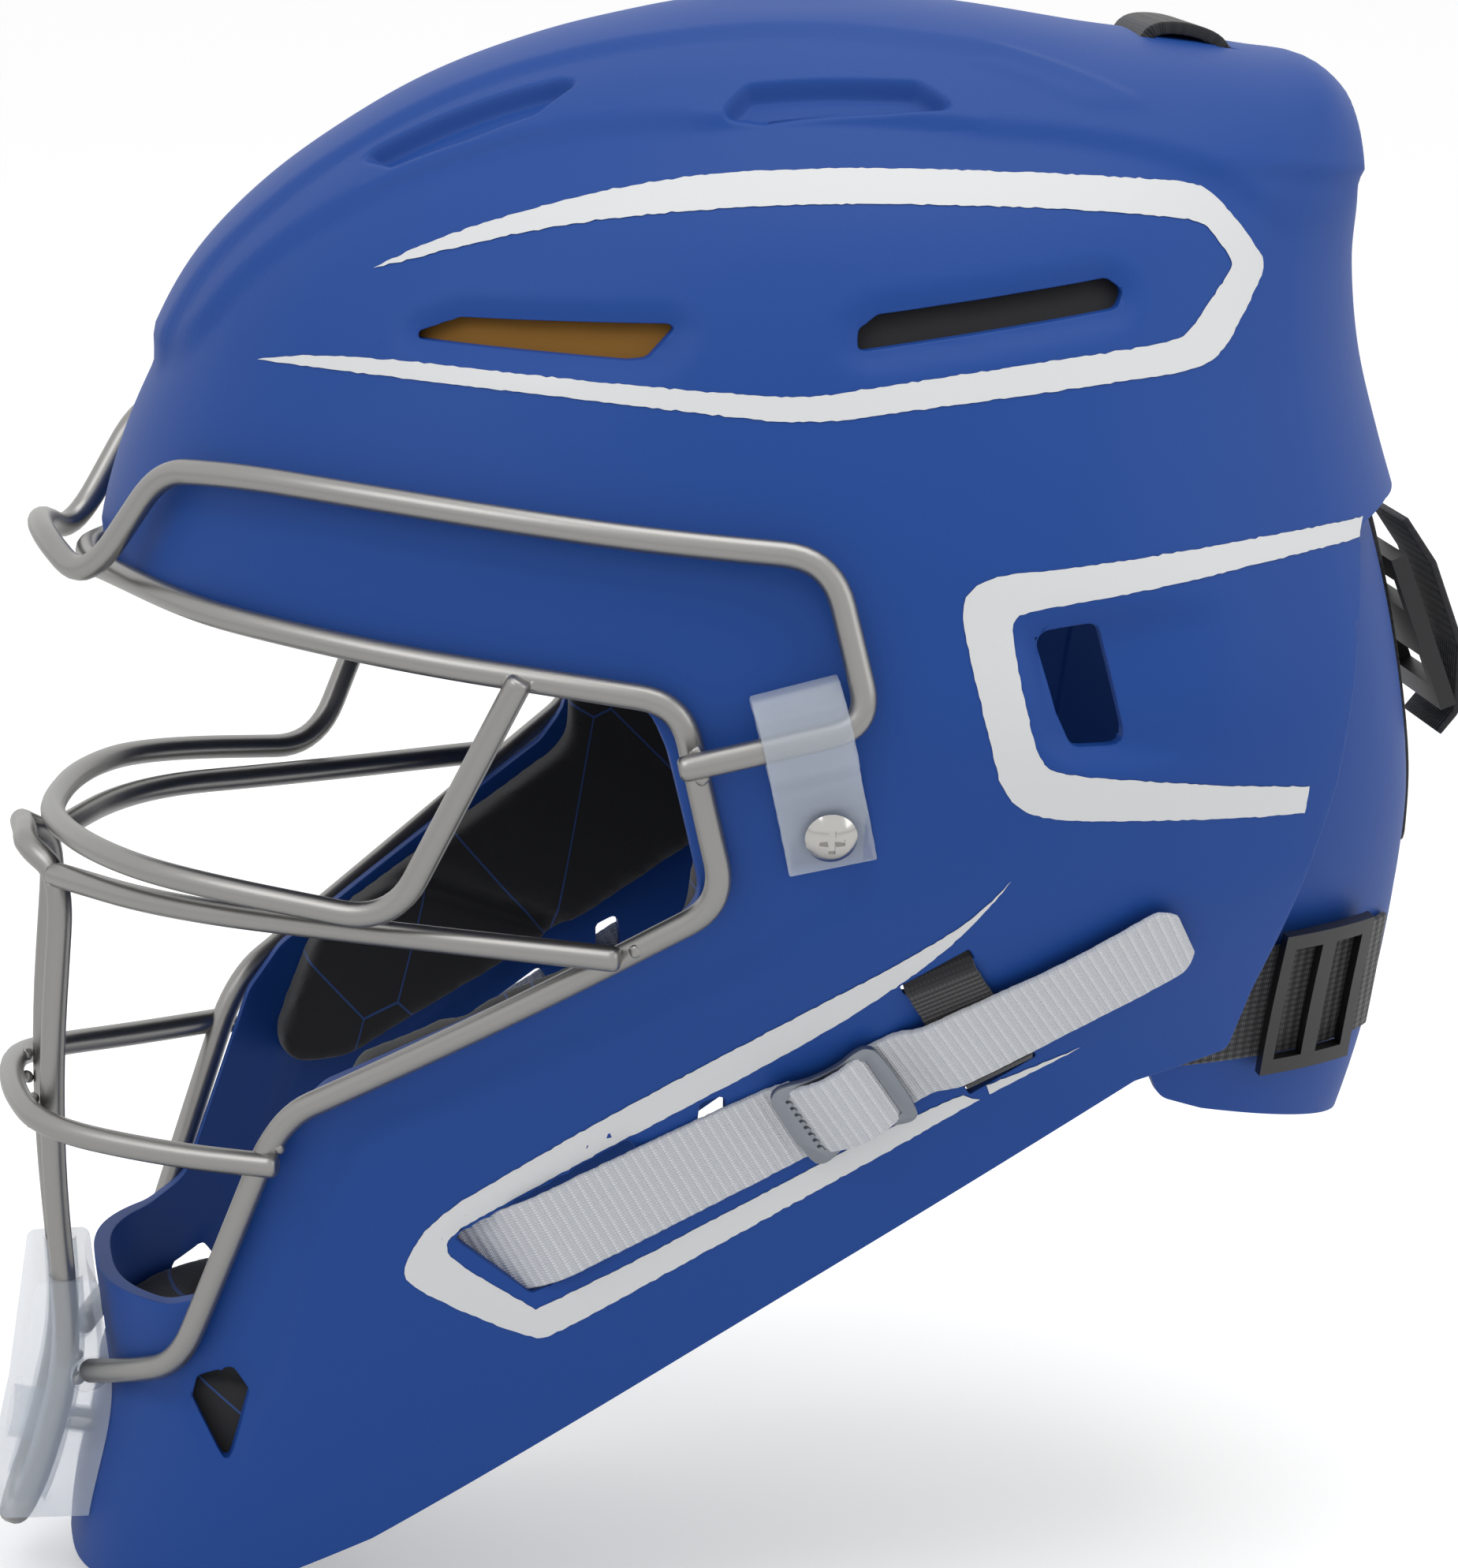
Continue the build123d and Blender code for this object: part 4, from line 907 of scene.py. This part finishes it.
LOWER_EYE_BAR = [
    (96.5, -37.8, -12.2, 0), (71.3, -89.0, -10.3, 60), (54.5, -124.1, -8.3, 60), (17.2, -144.4, -9.7, 0)]
CHIN_BAR = [
    (58.0, -102.5, -62.6, 0), (47.0, -124.4, -62.2, 60), (31.4, -148.2, -60.1, 60), (13.1, -153.6, -57.8, 60)]
CHIN_LOOP = [
    (0, -149.3, -4.5, 0), (11, -149.6, -4.8, 11), (18, -142.5, -10.0, 12), (18.2, -147.0, -62.0, 40),
    (14.5, -143.3, -115.4, 14), (11.6, -149.9, -139.8, 14), (7.7, -155.0, -152.1, 8), (0, -156.5, -154.5, 0)]
WELDS = [
    ((108.6, -24.0, 28.9), (0, 0.24, -1), 2.6), ((97.4, -56.9, 44.0), (0.35, 0.9, -0.12), 2.5),
    ((94.4, -36.5, -12.0), (0.45, 0.75, 0.48), 2.6), ((55.9, -103.0, -61.5), (0.3, 0.3, 0.9), 2.6),
    ((14.8, -142.2, -117.6), (0, 0, 1), 2.6), ((18.2, -144.6, -10.6), (0, 0, 1), 1.5), ((17.6, -149.9, -60.2),
    (0, 0, 1), 2.6)]


def bent(points, steps=9):
    """Places along a wire: straight runs joined by bends that reach a set way along their runs."""
    places = [Vector(p[:3]) for p in points]
    path = [places[0]]
    for (_, _, _, reach), a, b, c in zip(points[1:], places, places[1:], places[2:]):
        start = b + (a - b).normalized() * min(reach, (a - b).length / 2)
        end = b + (c - b).normalized() * min(reach, (c - b).length / 2)
        for k in range(steps + 1):
            t = k / steps
            path.append(start * (1 - t) ** 2 + b * 2 * t * (1 - t) + end * t ** 2)
    return path + [places[-1]]


def seated(side_points):
    """Points beside the cheek turned into free points."""
    return [(*beside(y, z, off)[0], reach) for y, z, off, reach in side_points]


def wire(name, points, material, closed=False):
    """A round wire through bent points, its ends slightly domed."""
    path = bent(points)
    sizes = [1.0] * len(path)
    if not closed:
        for _ in range(2):
            way = (path[1] - path[0]).normalized()
            path[1:1] = [path[0] + way * d for d in (0.25, 0.8, 1.8)]
            sizes = [0.55, 0.8, 0.95, 1.0] + sizes[1:]
            path.reverse()
            sizes.reverse()
    curve = bpy.data.curves.new(name, "CURVE")
    curve.dimensions = "3D"
    curve.bevel_depth = WIRE_RADIUS * MM
    curve.bevel_resolution = 6
    curve.use_fill_caps = True
    spline = curve.splines.new("POLY")
    spline.points.add(len(path) - 1)
    for point, place, size in zip(spline.points, path, sizes):
        point.co = (*(place * MM), 1)
        point.radius = size
    spline.use_cyclic_u = closed
    linked(name, curve)
    bpy.ops.object.convert(target="MESH")
    return paint(smooth(bpy.context.active_object, 60), material)


def flipped(points):
    """The same points on the other side of the head, in the other order."""
    return [(-x, y, z, reach) for x, y, z, reach in reversed(points)]


def weld(place, seed, material):
    """A lumpy bead beside a weld."""
    bpy.ops.mesh.primitive_uv_sphere_add(segments=20, ring_count=12, radius=BEAD_RADIUS * MM)
    obj = bpy.context.active_object
    for v in obj.data.vertices:
        lump = 1 + 0.25 * noise.noise(v.co / MM * 0.8 + Vector((seed * 7.0, 0, 0)))
        v.co = v.co * lump + place * MM
    bpy.ops.object.shade_smooth()
    return paint(obj, material)


class HELMET_OT_cage(bpy.types.Operator):
    """Bends the wires of the cage and adds their weld beads"""
    bl_idname = "helmet.cage"
    bl_label = "Cage"

    def execute(self, context):
        steel = plain("satin wire", (0.31, 0.305, 0.295), context.scene.helmet.wire_rough, 0.95,
                      grain=700.0, strength=0.1)
        perimeter = PERIMETER_FRONT + seated(PERIMETER_SIDE) + PERIMETER_END
        visor = seated(VISOR_SIDE) + VISOR_FRONT
        wires = {"perimeter_bar": flipped(perimeter) + perimeter, "visor_bar": visor + flipped(visor),
                 "eye_bar": EYE_BAR + flipped(EYE_BAR), "chin_bar": CHIN_BAR + flipped(CHIN_BAR),
                 "lower_eye_bar_left": LOWER_EYE_BAR, "lower_eye_bar_right": flipped(LOWER_EYE_BAR),
                 "chin_loop": CHIN_LOOP + flipped(CHIN_LOOP)[1:-1]}
        for node, points in wires.items():
            obj = wire(node + "_wire", points, steel, node == "chin_loop")
            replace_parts(obj, node)
            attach(obj, "shell")
        beads = []
        for i, (place, way, spread) in enumerate(WELDS):
            for side in (1, -1):
                at = Vector(place) + Vector(way).normalized() * spread * side
                beads.append(weld(at, i + side * 0.3, steel))
                beads.append(weld(Vector((-at.x, at.y, at.z)), i + side * 0.4, steel))
        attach(joined(beads, "weld_beads"), "shell")
        return {"FINISHED"}


CLIP_TOP, CLIP_BOTTOM = (-5.0, 41.6), (3.2, 6.4)
CLIP_WIDTH, CLIP_THICKNESS = 17.5, 1.3
CLIP_HEIGHTS = [(0, 5.4), (0.1, 8.0), (0.22, 9.3), (0.36, 8.6), (0.5, 2.2), (0.62, 0.3), (1, 0.3)]


def make_side_clip(material):
    """A soft clear band folded over the visor bar, both its leaves under the screw."""
    back = cheek_frames(CLIP_BOTTOM, CLIP_TOP, [(0, -1.0), (1, -1.0)])
    front = cheek_frames(CLIP_TOP, CLIP_BOTTOM, CLIP_HEIGHTS)
    top, across, out = front[0]
    up = (back[-1][0] - back[-2][0]).normalized()
    fold = []
    for k in range(1, 8):
        turn = math.pi * k / 8
        fold.append((top + out * (-3.2 - 3.2 * math.cos(turn)) + up * 2.2 * math.sin(turn), -across, out))
    front = [(place, -way, face) for place, way, face in front]
    band = ribbon("side_clip_left_band", back + fold + front, CLIP_WIDTH, CLIP_THICKNESS, material)
    return modified(band, "SUBSURF", levels=1)


SLIDER_RIM = [
    (-12.4, -9.2), (-12.4, 9.2), (-10.4, 11.4), (-7.4, 11.0), (-4, 9.6), (0, 9.2), (4, 9.6), (7.4, 11.0),
    (10.4, 11.4), (12.4, 9.2), (12.4, -9.2), (10.4, -11.4), (7.4, -11.0), (4, -9.6), (0, -9.2), (-4, -9.6),
    (-7.4, -11.0), (-10.4, -11.4)]
SLIDER_WINDOW = [(9.0, 8.2), (6.4, 8.9), (4, 7.8), (0, 7.4), (-4, 7.8), (-6.4, 8.9), (-8.6, 8.2)]


def make_slider(material):
    """The stamped slider: a bowed frame with drawn-in cheeks and a toothed bar."""
    teeth = []
    for k in range(8):
        b = 7.4 - 2.0 * k
        teeth += [(-8.6, b + 0.55), (-9.5, b + 0.35), (-9.5, b - 0.35), (-8.6, b - 0.55)]
    window = SLIDER_WINDOW + teeth + [(-8.6, -8.2)] + [(a, -b) for a, b in reversed(SLIDER_WINDOW[:6])]
    plate = prism(softened(SLIDER_RIM), "Z", 0, 1.4)
    plate.name = "slider_left_plate"
    cut(plate, [prism(window, "Z", -2, 4)])
    bevelled(plate, 0.3, 50)
    place, out = beside(*SLIDER)
    ahead, _ = beside(*on_strap(4))
    along = (ahead - place).normalized()
    across = out.cross(along).normalized()
    for v in plate.data.vertices:
        a, b, h = v.co / MM
        lift = 2.3 + h + 1.1 * (a / 12.4) ** 2
        v.co = (place + along * a + across * b + out * lift) * MM
    plate.data.update()
    smooth(plate, 40)
    return paint(plate, material)


class HELMET_OT_clips(bpy.types.Operator):
    """Finishes the clips, screws, nuts, sliders and buckles"""
    bl_idname = "helmet.clips"
    bl_label = "Clips"

    def execute(self, context):
        frost = plain("clip rubber", (0.70, 0.76, 0.84), 0.35, grain=500.0, strength=0.15,
                      Transmission_Weight=0.3, IOR=1.2, Alpha=0.34)
        zinc = plain("zinc screw", (0.50, 0.49, 0.47), 0.16, 1.0, grain=800.0, strength=0.05)
        pewter = plain("slider metal", (0.26, 0.28, 0.31), 0.38, 0.9, grain=600.0, strength=0.2)
        black = plain("buckle plastic", (0.012, 0.012, 0.013), 0.45, grain=800.0, strength=0.2)
        dress("chin_clip", frost, 0.9)
        clip = make_side_clip(frost)
        for obj, node in zip((clip, mirrored_copy(clip, "side_clip_right_band")), both("side_clip")):
            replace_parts(obj, node)
            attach(obj, "shell")
        for node in ("clip_screws", "clip_nuts"):
            dress(node, zinc, 0.25)
        slider = make_slider(pewter)
        for obj, node in zip((slider, mirrored_copy(slider, "slider_right_plate")), both("strap_slider")):
            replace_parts(obj, node)
            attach(obj, node)
        for node in (*both("side_buckle"), "upper_buckle"):
            dress(node, black, 0.5)
        return {"FINISHED"}


class HELMET_OT_straps(bpy.types.Operator):
    """Makes the webbing straps and elastic"""
    bl_idname = "helmet.straps"
    bl_label = "Straps"

    def execute(self, context):
        make_straps()
        black = woven("black webbing", (0.011, 0.011, 0.013), (0.03, 0.03, 0.034), rib=2.0, dot=1.4)
        make_crown_strap(black)
        for node in ("rear_strap", "rear_strap_loop", *both("elastic_strap")):
            obj = strap_copy(node, node + "_cloth", black)
            if node.startswith("elastic"):
                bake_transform(obj)
            else:
                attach(obj, "back_plate")
        return {"FINISHED"}


class HELMET_OT_pads(bpy.types.Operator):
    """Makes the cloth-covered pads and the foam liners"""
    bl_idname = "helmet.pads"
    bl_label = "Pads"

    def execute(self, context):
        rounds = context.scene.helmet.pad_softness
        cloth = pad_cloth()
        amber = plain("amber foam", (0.20, 0.090, 0.008), 0.9, grain=350.0, strength=0.9)
        dark = plain("dark foam", (0.014, 0.014, 0.016), 0.95, grain=350.0, strength=0.8)
        cushions = (*both("temple_pad"), *both("jaw_pad"), "crown_pad", "brow_pad", "back_pad", "chin_pad",
                    "plate_pad")
        groups = ((both("front_liner"), amber, 4, 0.7, "liner_foam"),
                  (both("back_liner"), dark, 4, 0.7, "dark_foam"), (cushions, cloth, rounds, 0.6, "pad"))
        for nodes, material, amount, fill, slot in groups:
            for node in nodes:
                obj = soft_copy(node, node + "_cushion", material, amount)
                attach(obj, "back_plate" if node == "plate_pad" else "shell")
        return {"FINISHED"}


def pad_cloth():
    """Black knitted cloth with a thin printed net of blue lines."""
    black = (0.010, 0.010, 0.012)
    material = plain("pad cloth", black, 0.85, grain=1200.0, strength=0.5, Sheen_Weight=0.2)
    tree = material.node_tree
    turned = add_node(tree, "Mapping", {
        "Rotation": (math.radians(32), 0, 0), "Scale": (0.0, 34.0, 22.0),
        "Vector": add_node(tree, "TexCoord").outputs["Object"]})
    cells = add_node(tree, "TexVoronoi")
    cells.feature = "DISTANCE_TO_EDGE"
    cells.distance = "EUCLIDEAN"
    cells.inputs["Scale"].default_value = 1.0
    cells.inputs["Randomness"].default_value = 0.35
    tree.links.new(turned.outputs["Vector"], cells.inputs["Vector"])
    line = add_node(tree, "Math", {0: cells.outputs["Distance"], 1: 0.006}, "LESS_THAN")
    color = color_mix(tree, line.outputs[0], black, (0.018, 0.060, 0.21))
    tree.links.new(color, tree.nodes["Principled BSDF"].inputs["Base Color"])
    return material


FLOOR_Z = -0.1662
FLOOR_GLOW = 0.30
WORLD_ON_SURFACES = 0.72
LAMPS = (("key", (0.7, -0.9, 1.3), 0.9, 5), ("top", (0.1, 0.3, 1.5), 1.1, 7),
         ("rim", (0.6, 1.2, 0.6), 0.8, 2))
CAMERA_PLACE = (1.1060, -0.1851, 0.2548)
CAMERA_LENS, CAMERA_SENSOR = 123.7, 36


class HELMET_OT_stage(bpy.types.Operator):
    """Sets the floor, the lights, the world and the camera"""
    bl_idname = "helmet.stage"
    bl_label = "Stage"

    def execute(self, context):
        scene = context.scene
        bpy.ops.mesh.primitive_plane_add(size=12, location=(0, 0, FLOOR_Z))
        floor = bpy.context.active_object
        floor.name = "floor"
        white = plain("floor", (0.90, 0.90, 0.90), 0.9, strength=0.0)
        tree, shader = white.node_tree, white.node_tree.nodes["Principled BSDF"]
        seen = add_node(tree, "LightPath").outputs["Is Camera Ray"]
        glow = add_node(tree, "Math", {0: seen, 1: FLOOR_GLOW}, "MULTIPLY")
        shader.inputs["Emission Color"].default_value = (1, 1, 1, 1)
        tree.links.new(glow.outputs[0], shader.inputs["Emission Strength"])
        paint(floor, white)
        world = bpy.data.worlds.new("studio")
        world.use_nodes = True
        tree, background = world.node_tree, world.node_tree.nodes["Background"]
        background.inputs["Color"].default_value = (1, 1, 1, 1)
        diffuse = add_node(tree, "LightPath").outputs["Is Diffuse Ray"]
        share = add_node(tree, "MapRange", {"To Min": 1.0, "To Max": WORLD_ON_SURFACES, "Value": diffuse})
        tree.links.new(share.outputs["Result"], background.inputs["Strength"])
        scene.world = world
        for name, place, size, power in LAMPS:
            bpy.ops.object.light_add(type="AREA", location=place)
            lamp = bpy.context.active_object
            lamp.name = name
            lamp.data.size = size
            lamp.data.energy = power
            lamp.rotation_euler = (-Vector(place)).to_track_quat("-Z", "Y").to_euler()
        bpy.ops.object.camera_add(location=CAMERA_PLACE)
        camera = bpy.context.active_object
        camera.rotation_euler = (-Vector(CAMERA_PLACE)).to_track_quat("-Z", "Y").to_euler()
        camera.data.lens = CAMERA_LENS
        camera.data.sensor_width = CAMERA_SENSOR
        camera.data.clip_start = 0.01
        scene.camera = camera
        scene.view_settings.view_transform = "Standard"
        return {"FINISHED"}


class HELMET_PT_panel(bpy.types.Panel):
    """Runs the helmet's operators"""
    bl_idname = "HELMET_PT_panel"
    bl_label = "Catcher Helmet"
    bl_space_type = "VIEW_3D"
    bl_region_type = "UI"
    bl_category = "Helmet"

    def draw(self, context):
        settings = context.scene.helmet
        for name in ("shell_color", "stripe_color", "wire_rough", "pad_softness"):
            self.layout.prop(settings, name)
        for step in STEPS:
            self.layout.operator("helmet." + step)


STEPS = ("shell", "cage", "clips", "straps", "pads", "stage")
CLASSES = (HelmetSettings, HELMET_OT_shell, HELMET_OT_cage, HELMET_OT_clips, HELMET_OT_straps,
           HELMET_OT_pads, HELMET_OT_stage, HELMET_PT_panel)


def register():
    for cls in CLASSES:
        bpy.utils.register_class(cls)
    bpy.types.Scene.helmet = bpy.props.PointerProperty(type=HelmetSettings)


def unregister():
    del bpy.types.Scene.helmet
    for cls in reversed(CLASSES):
        bpy.utils.unregister_class(cls)


def main():
    register()
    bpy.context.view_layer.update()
    for step in STEPS:
        getattr(bpy.ops.helmet, step)()


if __name__ == "__main__":
    main()
